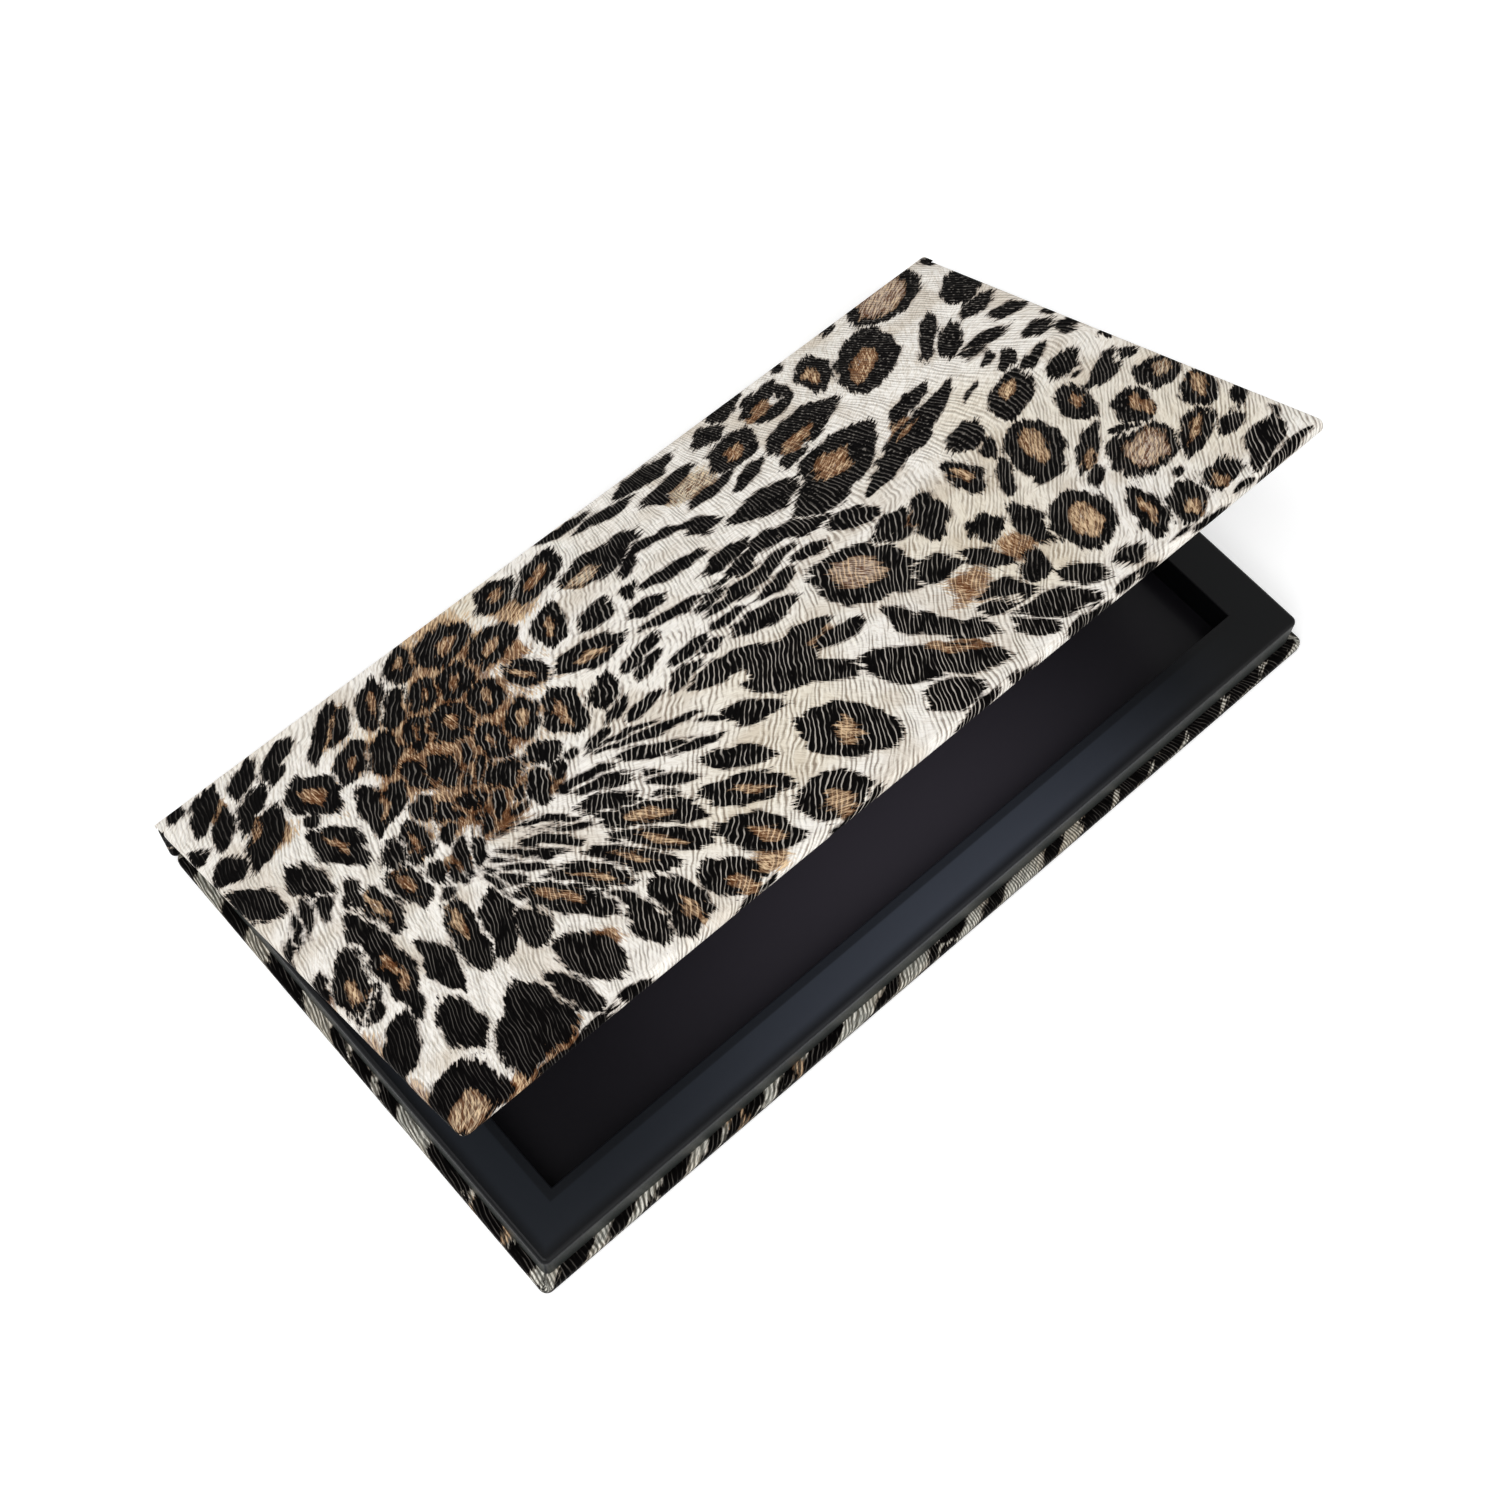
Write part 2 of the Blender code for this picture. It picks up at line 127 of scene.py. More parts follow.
# The print's colours: fur, the ring fills, hair over them, the shade round black marks, painted shade in
# the grain's grooves and painted highlights on its crests, painted glints on black, painted shade in the
# grooves of the base's edges and their combed hair, and a dark line along the base's bottom edge.
CREAM = srgb(238, 229, 211)
WHITE_FUR = srgb(251, 247, 240)
DUSKY_FUR = srgb(196, 178, 152)
BLACK_FUR = srgb(6, 5, 5)
FILLS = {
    "brown": srgb(146, 102, 64),
    "tan": srgb(206, 174, 136),
    "cream": srgb(222, 212, 190),
    "grey": srgb(190, 172, 158),
    "dun": srgb(146, 122, 98),
}
LIGHT_FUR = (CREAM, WHITE_FUR)
SILVER_FUR = (srgb(152, 150, 139), srgb(208, 207, 198))
FUR_SHADE = srgb(170, 154, 130)
GOLD_HAIR = srgb(236, 208, 170)
UMBER_HAIR = srgb(92, 54, 30)
RING_SHADE = srgb(84, 52, 30)
FRINGE = srgb(98, 63, 38)
GROOVE_SHADE = srgb(112, 94, 78)
CREST_HIGHLIGHT = srgb(255, 250, 238)
GOLD_CREST_HIGHLIGHT = srgb(230, 198, 160)
HATCH_GROOVE_SHADE = srgb(66, 66, 58)
COMBED = srgb(58, 58, 52)
BLACK_GLINT = srgb(196, 188, 178)
EDGE_LINE = srgb(16, 16, 14)


@dataclass
class Print:
    """What is printed on a stretch of sheet, and how strongly grain and dark lines show there."""

    spots: list
    hearts: list
    patches: list
    seed: int
    ground_way: float
    ground: tuple = LIGHT_FUR
    least_grain: float = 0.0
    hatch: float = 0.0


@dataclass
class Panel:
    """A board's wrap: its outline along p and q, its depth along w, and its place in the frame.

    The outer face lies at w = 0. start is where the face's corner lies on the flat sheet.
    """

    name: str
    width: float
    height: float
    depth: float
    place: Matrix
    start: tuple
    pitch: float
    flap: float = FLAP_WIDTH


def lid_matrix():
    """The lid's own axes at rest: origin on the hinge axis, lid lying level in them."""
    hinge = next(joint for joint in frame["joints"] if joint["name"] == "lid_hinge")
    turn = math.radians(hinge["range_deg"][0])
    return Matrix.Translation(Vector(hinge["pos_m"])) @ Matrix.Rotation(turn, 4, "X")


LID = lid_matrix()
AXIS = LID.translation.copy()


def axes(origin, p, q, w):
    """The matrix of a set of axes."""
    made = Matrix((p, q, w)).transposed().to_4x4()
    made.translation = origin
    return made


def local_box(node, space):
    """A node's lowest and highest corner, measured in other axes."""
    inverse = space.inverted()
    places = np.array([inverse @ vert.co for vert in NODES[node].data.vertices])
    return Vector(places.min(0)), Vector(places.max(0))


def profile(panel):
    """The outer line from the face's rim, round the edge, to the flap's end: (inset, depth, run).

    run is how far a point of the flat sheet lies outside the board's outline.
    """
    radius, depth = EDGE_RADIUS, panel.depth
    wall = depth - 2 * radius
    wall_start = -radius + math.pi / 2 * radius
    angles = [math.pi / 2 * step / ARC_STEPS for step in range(ARC_STEPS + 1)]
    rows = [(CORNER_RADIUS, 0.0, -CORNER_RADIUS)]
    for angle in angles:
        inset, below = radius * (1 - math.sin(angle)), radius * (1 - math.cos(angle))
        rows.append((inset, below, -radius + radius * angle))
    wall_steps = max(1, round(wall / panel.pitch))
    for step in range(1, wall_steps):
        gone = wall * step / wall_steps
        rows.append((0.0, radius + gone, wall_start + gone))
    for angle in angles:
        inset, above = radius * (1 - math.cos(angle)), radius * (1 - math.sin(angle))
        rows.append((inset, depth - above, wall_start + wall + radius * angle))
    run = wall_start + wall + math.pi / 2 * radius
    for step in range(FLAP_STEPS + 1):
        inset = CORNER_RADIUS + (panel.flap - CORNER_RADIUS) * step / FLAP_STEPS
        rows.append((inset, depth, run + inset - radius))
    return rows


def inner_profile(panel):
    """The same line on the sheet's inner side, from the flap's end back to the face."""
    sheet, depth = WRAP_THICKNESS, panel.depth
    bevel = 1.2 * sheet
    return [
        (panel.flap, depth - sheet, 0.0),
        (CORNER_RADIUS, depth - sheet, 0.0),
        (bevel, depth - bevel, 0.0),
        (sheet, depth / 2, 0.0),
        (bevel, bevel, 0.0),
        (CORNER_RADIUS, sheet, 0.0),
    ]


def side_places(panel):
    """Places along the board's sides in p and in q, a pitch apart, between its rounded corners."""
    made = []
    for length in (panel.width, panel.height):
        inner = length - 2 * CORNER_RADIUS
        made.append(CORNER_RADIUS + np.linspace(0, inner, max(2, round(inner / panel.pitch)) + 1))
    return made


def ring(panel, inset, depth, run):
    """One closed loop round the board: places in (p, q, w), and places on the flat sheet."""
    width, height, centre = panel.width, panel.height, CORNER_RADIUS
    extra = max(inset - centre, 0.0)
    p, q = (
        half + (places - half) * (half - centre - extra) / (half - centre)
        for places, half in zip(side_places(panel), (width / 2, height / 2))
    )
    low, high_p, high_q = centre + extra, width - centre - extra, height - centre - extra
    radius = max(centre - inset, 0.0)
    reach = centre + run + extra
    like = np.full_like
    sides = (
        ((p, like(p, inset), p, like(p, -run)), high_p, low, -90),
        ((like(q, width - inset), q, like(q, width + run), q), high_p, high_q, 0),
        ((p[::-1], like(p, height - inset), p[::-1], like(p, height + run)), low, high_q, 90),
        ((like(q, inset), q[::-1], like(q, -run), q[::-1]), low, low, 180),
    )
    columns = []
    for side, corner_p, corner_q, first in sides:
        angle = np.radians(first + 90 * np.arange(1, CORNER_STEPS) / CORNER_STEPS)
        cos, sin = np.cos(angle), np.sin(angle)
        rounded = (corner_p + radius * cos, corner_q + radius * sin)
        spread = (corner_p + reach * cos, corner_q + reach * sin)
        columns.append(np.concatenate([side, rounded + spread], 1))
    place_p, place_q, flat_p, flat_q = np.concatenate(columns, 1)
    return np.stack([place_p, place_q, like(place_p, depth)], 1), np.stack([flat_p, flat_q], 1)


def weld(places, flats, faces):
    """Merges points that coincide, and drops the faces that this leaves without an area."""
    keys = np.round(places / WELD_GRID).astype(np.int64)
    _, first, back = np.unique(keys, axis=0, return_index=True, return_inverse=True)
    back = back.reshape(-1)
    kept = []
    for face in faces:
        corners = [back[i] for i in face]
        corners = [c for i, c in enumerate(corners) if c != corners[i - 1]]
        if len(corners) > 2:
            kept.append(corners)
    return places[first], flats[first], kept


def panel_mesh(panel):
    """A wrap as one closed sheet: outer face, rounded edges, flaps, and the inner side."""
    across, down = side_places(panel)
    p, q = np.meshgrid(across, down)
    places = [np.stack([p.ravel(), q.ravel(), np.zeros(p.size)], 1)]
    flats = [places[0][:, :2]]
    count, columns = p.size, len(across)
    rows = np.arange(len(down) - 1)[:, None] * columns + np.arange(columns - 1)[None, :]
    faces = np.stack([rows, rows + columns, rows + columns + 1, rows + 1], -1).reshape(-1, 4).tolist()
    last = None
    for row in profile(panel) + inner_profile(panel):
        loop_places, loop_flats = ring(panel, *row)
        indices = np.arange(len(loop_places)) + count
        count += len(loop_places)
        places.append(loop_places)
        flats.append(loop_flats)
        if last is not None:
            faces.extend(np.stack([last, np.roll(last, -1), np.roll(indices, -1), indices], 1).tolist())
        last = indices
    faces.append(last.tolist())
    places, flats, faces = weld(np.concatenate(places), np.concatenate(flats), faces)
    matrix = np.array(panel.place)
    world = places @ matrix[:3, :3].T + matrix[:3, 3]
    return world, (np.array(panel.start) + flats) / MM, faces


def new_piece(name, places, faces):
    """A smooth mesh object in the scene."""
    mesh = bpy.data.meshes.new(name)
    mesh.from_pydata(places.tolist(), [], faces)
    mesh.shade_smooth()
    mesh.set_sharp_from_angle(angle=SHARP_ANGLE)
    made = bpy.data.objects.new(name, mesh)
    bpy.context.scene.collection.objects.link(made)
    return made


def store(piece, name, kind, values):
    """Keeps a value for each vertex where materials can read it."""
    layer = piece.data.attributes.new(name, kind, "POINT")
    field = {"FLOAT": "value", "FLOAT_VECTOR": "vector", "FLOAT_COLOR": "color"}[kind]
    layer.data.foreach_set(field, np.asarray(values, np.float32).ravel())


# The print's black spots: (x, y, length, width, turn) in millimetres, with turn in degrees from the hinge
# line, rising to the right. A row that ends in "+" is one spot with the row before it.
SPOTS = [
    (7.5, 5.5, 12, 4.5, 55), (8, 12.2, 11, 3.5, 62), (4, 1, 5, 3, 40), (1, 14.5, 3.6, 3.4, 0),
    (16.5, 4.5, 10, 4, 55), (24, 4, 8, 4, 30), (20.5, 8, 5.5, 3.4, 60, "+"), (14.5, 12, 8, 4, 40),
    (11.2, 15.8, 5, 2.6, 50, "+"), (12, 21.5, 15, 6.5, 45), (3.5, 23, 8, 6, 15), (23, 20.5, 14, 8, -80),
    (32, 7.2, 15, 3.4, 48), (35, 8.3, 10, 3, 48, "+"), (31.5, 19.5, 11, 6, 60), (36.5, 23, 11, 5, 62),
    (42.3, 9, 13, 4.8, 58), (44, 14.3, 10, 4, 58), (51, 4.7, 10.5, 5.4, 65), (49.5, 16, 8.5, 5, 60),
    (55, 18.5, 10, 6.5, 45), (58.8, 7.5, 11.4, 10.5, 60), (43, 24, 9.5, 5, 62), (48.5, 27.3, 10.5, 7, 90),
    (56, 27, 9.5, 5.6, 60), (11.5, 37.5, 11.5, 5, -88), (19.3, 35.5, 15.5, 6, -78), (27.5, 33, 13, 4, 75),
    (30.5, 35, 10, 4.6, 48, "+"), (37.5, 33, 9.5, 3.6, -80), (41, 36, 9, 4, 85),
    (50.5, 38.3, 11, 4.7, 75), (57.3, 38, 11.5, 5.6, 62), (33.5, 41, 5.5, 3, 60), (28, 47.5, 12, 5, 70),
    (2.6, 34.5, 13, 6, -70), (47, 46.5, 7.4, 5.5, 90), (54, 48.5, 6.5, 5, 80), (36, 46, 6.5, 3.6, 80),
    (40, 47, 6.5, 3.6, 75), (44.6, 37.2, 7, 1.2, 62), (45.6, 41.4, 5.5, 1.2, 58), (42.2, 42.2, 5, 1, 66),
    (42.6, 51.6, 6.5, 1.3, 62), (38.6, 51, 4.5, 1, 70), (46.5, 52.4, 5, 1, 60), (24, 47, 9, 4.3, 68),
    (15, 48, 9, 3.4, 85), (10, 45.5, 8, 1.7, 78), (6.5, 44.8, 9, 1.7, 66), (3.6, 46.8, 9, 1.7, 60),
    (1, 49.5, 8, 1.6, 56), (33.5, 50, 5, 2, 65), (20, 26, 4, 2, 60), (72.7, 5.3, 11, 8, 15),
    (80.5, 8, 15, 7.5, 33), (64.7, 16.5, 10.5, 8.5, 45), (73.7, 22.3, 12, 6.5, 62),
    (89, 15.8, 15, 9.8, -5), (95.5, 15, 7, 4.5, 0, "+"), (99, 5.3, 14, 3.3, -5), (91.5, 1, 11, 2.5, -5),
    (109.5, 3, 15, 5, 5), (111, 9.5, 13, 3.5, 5), (107.3, 12, 5, 3.4, -80, "+"),
    (114.3, 18.8, 12, 2.5, 8), (121, 22, 8, 2.5, 15), (92.7, 21.6, 6.5, 2.3, 33),
    (97.7, 19.6, 6.5, 2.3, 8, "+"), (102.3, 20.3, 6, 2.3, -25, "+"), (106.8, 23.4, 7, 2.3, -42, "+"),
    (107.5, 26, 7, 3.8, -20, "+"), (96.8, 30.7, 13.5, 3, -8), (88.5, 28, 5, 3, 45),
    (80.5, 27.5, 8.5, 5, 10), (64, 28.5, 10, 6, -72), (73.8, 35, 13, 8, -15), (87.5, 34.5, 7.5, 4, -15),
    (104, 36.6, 11, 3.6, 5), (91, 40.8, 18, 2.5, -14), (96.5, 43, 8.5, 4, 16),
    (104, 40.9, 9, 4.4, 17, "+"), (111, 40.4, 8, 4.8, -12, "+"), (117, 43, 9, 5, -34, "+"),
    (103, 46.4, 21, 3.2, 3), (62.5, 43, 14, 7.5, 78), (69.7, 45.7, 9.5, 4, 50), (79.5, 43.5, 10, 3.5, 20),
    (78.5, 47.4, 6.5, 2.6, 15), (118.5, 31.5, 16, 8.5, -10), (85, 51, 9, 3, 8), (68, 51.5, 7, 3, 28),
    (94, 50.6, 7, 2.4, -5), (105, 51, 9, 2.8, 4), (114, 50, 7, 3, -18), (124.5, 4.8, 8, 5.2, 10),
    (132, 0.6, 9.5, 4.4, 15), (145.6, 0.4, 4, 2.4, 30), (124.5, 13, 13.5, 8.8, 30),
    (137, 4.8, 12, 4.2, 22), (136.6, 10.7, 9, 3, 5, "+"), (140.8, 7.5, 7, 3.2, 80, "+"),
    (148.2, 8.5, 13, 7.4, 58), (156, 15.7, 22, 13.4, 50), (171.8, 2.4, 20, 15, 25),
    (158.6, 0.3, 5, 4.2, 20), (184.8, 2.2, 5.5, 3.4, -75), (136.3, 19.8, 18, 9.6, 8),
    (129.5, 25.2, 8, 3.6, 8), (131.8, 34.8, 25, 13.4, 22), (124, 40.8, 11, 6, -14, "+"),
    (150.6, 33.8, 13.5, 5, 24), (145, 41.6, 33, 6.4, 20), (133, 46.6, 8, 1.8, 5, "+"),
    (167.6, 21.3, 16.5, 4.6, 47), (168.3, 26.4, 12.5, 5, 42), (172.5, 32, 10, 5.2, -12),
    (168.2, 33, 6.5, 3.4, -30, "+"), (182, 14.6, 14, 8.5, 52), (178.6, 22.7, 10.5, 4.8, 10, "+"),
    (181, 29.3, 8.5, 4.7, -22), (159.4, 42.1, 8.5, 1.7, 32), (168.2, 37, 5, 2, 38),
    (163, 49.6, 17, 8.2, 42), (169.7, 40.8, 6.8, 4.6, 40), (172.6, 45.2, 10, 3.8, 22),
    (179.4, 39, 6.6, 4.4, 5), (183.3, 43.5, 6, 4.8, -60), (184.4, 36.3, 4, 3, -20),
    (149.8, 51, 9, 7.2, 20), (150, 57, 8.4, 2.8, 62, "+"), (174, 51.6, 10, 5.4, 22),
    (123.5, 49.8, 10, 6, -40), (184.6, 51.4, 4.6, 4, 60), (16.4, 54.5, 14, 5, 88),
    (22.3, 54.2, 13, 4.8, 88), (26.9, 55.5, 7.5, 3.3, 80), (31.8, 57, 10, 1.7, 68),
    (28.8, 59, 6, 1.4, 80), (25.1, 62, 4.4, 1.2, 65), (4.6, 65, 17.5, 6.4, 70), (3.8, 71.8, 5.4, 2.8, 62),
    (10.8, 64.5, 27, 5.6, 84), (9.6, 76, 8.5, 2.2, 80, "+"), (16.3, 74.5, 14, 3.8, 88),
    (22.6, 73, 18, 5.4, 82), (27.8, 74.5, 17, 4.6, 68), (30.7, 80, 10, 3.4, 75, "+"),
    (3.2, 83, 14, 5.6, 60), (12, 87.3, 14, 5, 84), (20.8, 96, 17.5, 8.6, 85),
    (16.6, 97.6, 15, 7, 68, "+"), (27, 97.5, 14.5, 3, -82), (32.6, 93.4, 14.6, 6.4, -84),
    (3.8, 101, 15, 12.6, 60), (43, 95.4, 12, 3.6, 84), (43.3, 89.4, 5.5, 1.4, -80, "+"),
    (48.8, 96, 13.5, 5.2, -84), (46.4, 101.3, 6, 2.4, 72, "+"), (56.8, 99.5, 12.4, 6.8, -78),
    (36.8, 79.2, 17, 5.6, -66), (40, 87, 6.5, 2.2, -58, "+"), (42.9, 79.6, 15.5, 4.5, -64),
    (49, 82, 16.5, 4.8, -66), (54.6, 82.6, 16, 5, -62), (57.4, 87, 7, 4, -55, "+"),
    (57, 76.3, 17, 6.8, -52), (60.4, 82.6, 8, 2.6, -52, "+"), (31.8, 67, 8, 1.2, -88),
    (34.6, 69, 6, 1.2, -72), (37, 67.8, 8, 1.2, -53), (39.8, 66.4, 10, 2, -50),
    (42.8, 67.2, 10, 2.3, -52), (45.4, 65.4, 12, 1.2, -50), (44.6, 62.8, 12, 2.2, -42),
    (34.5, 58.5, 10, 1.5, 56), (33, 63.5, 4, 1.2, -80), (41.5, 59.4, 6, 1.4, -25), (36, 64.4, 5, 1, -48),
    (55, 59.8, 11, 2, -22), (57.5, 64.6, 12.5, 3.2, -38), (55, 68.8, 11, 3.4, -48),
    (49.3, 54.7, 8.5, 3.2, 68), (53.5, 54.3, 5, 2, 60), (57, 53.5, 3, 2, 60), (38.5, 54, 6, 1.8, 60),
    (44.5, 56, 3.4, 1.6, 30), (0.6, 61, 6, 2, 75), (62, 54.6, 7, 2.6, 22), (65.5, 58.2, 12, 1.8, -22),
    (68, 61.2, 18, 2, -26), (66.5, 65.3, 13, 2.6, -38), (71, 70.3, 9.5, 2.4, -34),
    (61.8, 68, 6, 2.4, -45), (64, 73.6, 10, 2.2, -56), (60.6, 75.4, 5, 2.4, -50),
    (81.8, 72.8, 11.5, 4.6, -42), (76.6, 68.6, 5, 1.2, -42, "+"), (73.8, 79.4, 13, 4.8, -50),
    (69.8, 86.2, 15.5, 6.8, -46), (65.2, 95.6, 16, 7.4, -62), (77.8, 99.6, 12.6, 10.6, -40),
    (88.5, 90.3, 19.5, 11.4, -66), (71.5, 55, 8, 2.8, 15), (80.5, 55.7, 9, 2.8, 12),
    (87.5, 54, 6, 2.4, 5), (86, 60.4, 15, 5.2, -14), (92.3, 67, 14, 9, -50, "+"),
    (94.8, 75, 16, 5.6, -60, "+"), (89, 71.8, 12, 4, -52, "+"), (98.6, 65.8, 9, 5, -8, "+"),
    (102.6, 71.2, 9, 4, -5, "+"), (98.3, 56, 12.5, 5.4, -10), (114.6, 62.6, 19.6, 15, -62),
    (117.6, 72, 5, 4, -60, "+"), (103.5, 86.5, 17, 7.6, -66), (109.5, 93.6, 19, 6.4, -55, "+"),
    (112.6, 83, 13, 5, -66), (115.6, 90, 9, 4, -62, "+"), (111.3, 77, 8, 2.8, -86, "+"),
    (104, 99.4, 10.5, 7.4, -50), (122.5, 73, 8, 6.5, -40), (123, 89.8, 7, 5.4, -20),
    (122.6, 98.6, 8.6, 5.4, -76), (126, 57.8, 9.5, 5, 25), (125.6, 61.2, 7, 3, -20, "+"),
    (131.5, 62, 14, 5.8, 60), (142.3, 59.3, 13, 5, 82), (145.7, 65.8, 11, 2.8, 60), (154, 65, 19, 11, 66),
    (150.4, 73, 7.4, 4.4, -12, "+"), (167, 62.3, 14, 7.4, 74), (176.5, 59.2, 12.5, 3.4, 25),
    (175.5, 61.6, 7, 4.2, 5, "+"), (181.8, 59.9, 4.4, 4, 0), (181, 69, 9.6, 8.8, 30),
    (173, 56, 3.4, 1.6, 15), (129.2, 79.3, 11.5, 3.4, -74), (134.8, 72.8, 7.6, 6.2, 50),
    (132.2, 87.8, 8, 4.6, 60), (139.4, 79.5, 14.5, 4.4, 78), (145.2, 86.3, 17.5, 11.4, 66),
    (159, 74, 15, 4.2, 38), (154.4, 80, 6.5, 3, 52), (171.2, 73, 13, 7.4, 62),
    (167, 76.4, 7, 3.8, -40, "+"), (163.6, 82.4, 15.4, 12.6, 40), (180.8, 79.6, 13.4, 6, 56),
    (172.5, 87, 15.4, 6.4, 36), (162.4, 91.8, 3.6, 2.3, 35), (152.6, 94.8, 15.6, 6.6, 64),
    (135.2, 96.3, 9, 4.6, -62), (142.8, 100.2, 6.4, 4.4, 0), (157.5, 99.3, 13, 6.2, 50),
    (165.4, 98.8, 9, 7, 35), (175.5, 99.7, 15, 6.4, 28), (177, 91, 9, 4.6, 35), (183.2, 86.8, 8, 3.8, 45),
    (125.3, 89, 9.5, 5.8, -50), (128, 98.7, 13, 6.4, -36), (137.5, 104.2, 5, 1.6, 0),
    (151.5, 104.4, 5, 1.4, 0), (182.6, 95.5, 6, 2, 60), (4, 105.6, 8, 2.4, 0), (22, 105.4, 14, 2.6, 0),
    (33, 104.8, 5, 2, 0), (57, 105.4, 7, 2.4, 0), (78, 105.4, 11, 2.6, 0), (104, 105.4, 10, 2.6, 0),
    (114, 105.2, 5, 2, 0), (128.5, 105.2, 10, 3, 0), (142.8, 105, 6, 2.4, 0), (157, 105.4, 9, 2.6, 0),
    (165.5, 104.8, 5, 2, 0), (175, 104.8, 15, 2.8, 8),
]

# What shows through the rings: (x, y, length, width, turn, fill).
HEARTS = [
    (9.6, 7.4, 4, 1, 55, "tan"), (11.5, 18.4, 5, 1.2, 45, "brown"), (23, 20.5, 8, 2.6, -80, "brown"),
    (33.8, 7.8, 8, 1.2, 48, "tan"), (31.7, 19.8, 4, 1.2, 60, "brown"), (42.6, 9, 7, 1.4, 58, "brown"),
    (51.2, 4.7, 5, 1.6, 65, "tan"), (49.6, 16, 4, 1.3, 60, "brown"), (55, 18.6, 5, 1.8, 45, "brown"),
    (59.2, 8, 5.4, 4, 60, "brown"), (43, 24, 5, 1.4, 62, "brown"), (48.5, 27.4, 5, 2.2, 90, "brown"),
    (56, 27, 5, 1.5, 60, "brown"), (19.3, 35.6, 8, 1.5, -78, "brown"), (29, 34.4, 7, 1.4, 60, "brown"),
    (50.5, 38.3, 6, 1.4, 75, "brown"), (57.4, 38, 6, 1.8, 62, "tan"), (28, 47.5, 6, 1.4, 70, "brown"),
    (72.7, 5.4, 4.6, 2.4, 20, "brown"), (80.4, 8.2, 8, 2.4, 33, "brown"),
    (63.6, 17, 4.6, 2.8, 45, "brown"), (73.7, 22.4, 6, 1.9, 62, "tan"),
    (85.6, 16.4, 7.5, 4.8, -4, "cream"), (63.9, 28.5, 5.5, 1.8, -72, "tan"),
    (73.6, 35.2, 7, 2.8, -15, "tan"), (62.5, 43, 8, 2.4, 78, "brown"), (124, 13.4, 5, 3.6, 40, "brown"),
    (134.6, 8, 6, 3, 30, "brown"), (147.6, 8.8, 6.4, 2.9, 60, "tan"), (154.8, 15.8, 11, 6, 45, "brown"),
    (171.4, 2.6, 13.6, 9.4, 25, "grey"), (134, 21.8, 9, 2.8, 14, "brown"),
    (131.8, 34.6, 9.4, 7, 30, "brown"), (146, 40, 6, 1.5, 22, "brown"), (163.4, 48, 6, 2.6, 45, "tan"),
    (16.3, 54, 8, 1.8, 88, "tan"), (22.4, 54, 7, 1.6, 86, "brown"), (3.9, 67, 7, 2.2, 72, "tan"),
    (10.6, 68, 11, 1.7, 84, "brown"), (22.8, 69.6, 8, 2, 84, "tan"), (3, 103, 7.4, 6, 50, "dun"),
    (48.6, 99, 7.4, 1.7, 88, "tan"), (56.7, 102.2, 6.4, 3.4, 88, "brown"),
    (36.7, 78.6, 10, 2, -66, "brown"), (43, 80.6, 9, 1.3, -65, "tan"), (48.9, 81.6, 8, 1.5, -66, "tan"),
    (54.4, 83, 9, 1.7, -66, "tan"), (56.8, 76.6, 8.4, 2.8, -48, "tan"), (70.2, 86.7, 7, 1.8, -50, "tan"),
    (65.9, 97.2, 7, 3.2, -60, "brown"), (77.6, 101.8, 6, 4.8, 70, "tan"), (88.2, 91, 7.6, 3.6, 62, "tan"),
    (114.4, 61.6, 12, 8, -62, "grey"), (111.6, 91.4, 10, 1.8, -54, "brown"),
    (142.2, 58.8, 6.6, 2, 84, "tan"), (154.6, 64.6, 10.4, 4.6, 66, "tan"),
    (167.6, 62, 6, 2.4, 62, "brown"), (182, 68.8, 5, 3.4, 40, "cream"), (145, 87.2, 11, 5.6, 62, "tan"),
    (157, 76, 4.4, 1.5, 38, "tan"), (172.2, 73.4, 6.6, 2.4, 75, "brown"),
    (164, 82.8, 10.6, 8.2, 40, "grey"), (181.6, 78.8, 8, 2.2, 58, "tan"),
    (172.2, 86.9, 7.4, 2.2, 36, "tan"), (152.6, 95.2, 7, 2.3, 60, "tan"), (157, 100.8, 5, 2.4, 60, "tan"),
    (164.3, 99.8, 4.6, 2, 60, "tan"),
]

# Soft patches of colour in the ground: (x, y, radius, fill).
PATCHES = [
    (46, 30, 20, "tan"), (57, 13, 12, "tan"), (41, 46, 12, "tan"), (60, 3, 7, "tan"),
    (46, 33, 15, "brown"), (55, 17, 9, "brown"), (37, 27, 7, "brown"), (41, 47, 9, "brown"),
    (48, 22, 7, "brown"), (12.5, 23, 5, "tan"), (100, 68.4, 3.6, "brown"), (111.5, 92, 3, "brown"),
    (122.8, 81, 5.6, "brown"), (134, 82, 4.4, "brown"), (113, 14.5, 6, "cream"), (20, 103, 5, "brown"),
    (36.6, 92.6, 3.4, "brown"), (30.4, 57, 3, "brown"), (41, 55.4, 5, "brown"), (50.5, 57, 3, "brown"),
    (129.6, 60.4, 2.6, "brown"), (62.6, 102.4, 4, "tan"), (145.6, 38.6, 4, "brown"), (72, 12, 5, "tan"),
    (66, 22, 4, "brown"), (-1.5, 64, 4, "grey"), (-1.5, 78, 4, "grey"), (-1.5, 92, 4, "grey"),
    (12.5, 106, 5, "brown"),
]

# The embossed grain: (x, y, degrees from the hinge line rising to the right, strength).
GRAIN = [
    (0, 10, 92, 0.45), (0, 95, 92, 0.45), (18, 50, 88, 0.7), (40, 15, 50, 0.6), (45, 50, 45, 0.85),
    (20, 96, 84, 0.6), (48, 95, 38, 0.95), (72, 20, 34, 0.8), (75, 60, 33, 1.0), (75, 98, 36, 1.0),
    (108, 20, 82, 0.6), (110, 60, 78, 0.95), (108, 98, 72, 1.0), (140, 15, 118, 0.4), (150, 40, 112, 0.6),
    (175, 20, 122, 0.4), (135, 75, 48, 0.8), (150, 90, 40, 0.75), (170, 70, 42, 0.65), (180, 98, 58, 1.0),
]

LID_PRINT = Print(SPOTS, HEARTS, PATCHES, 11, 60)

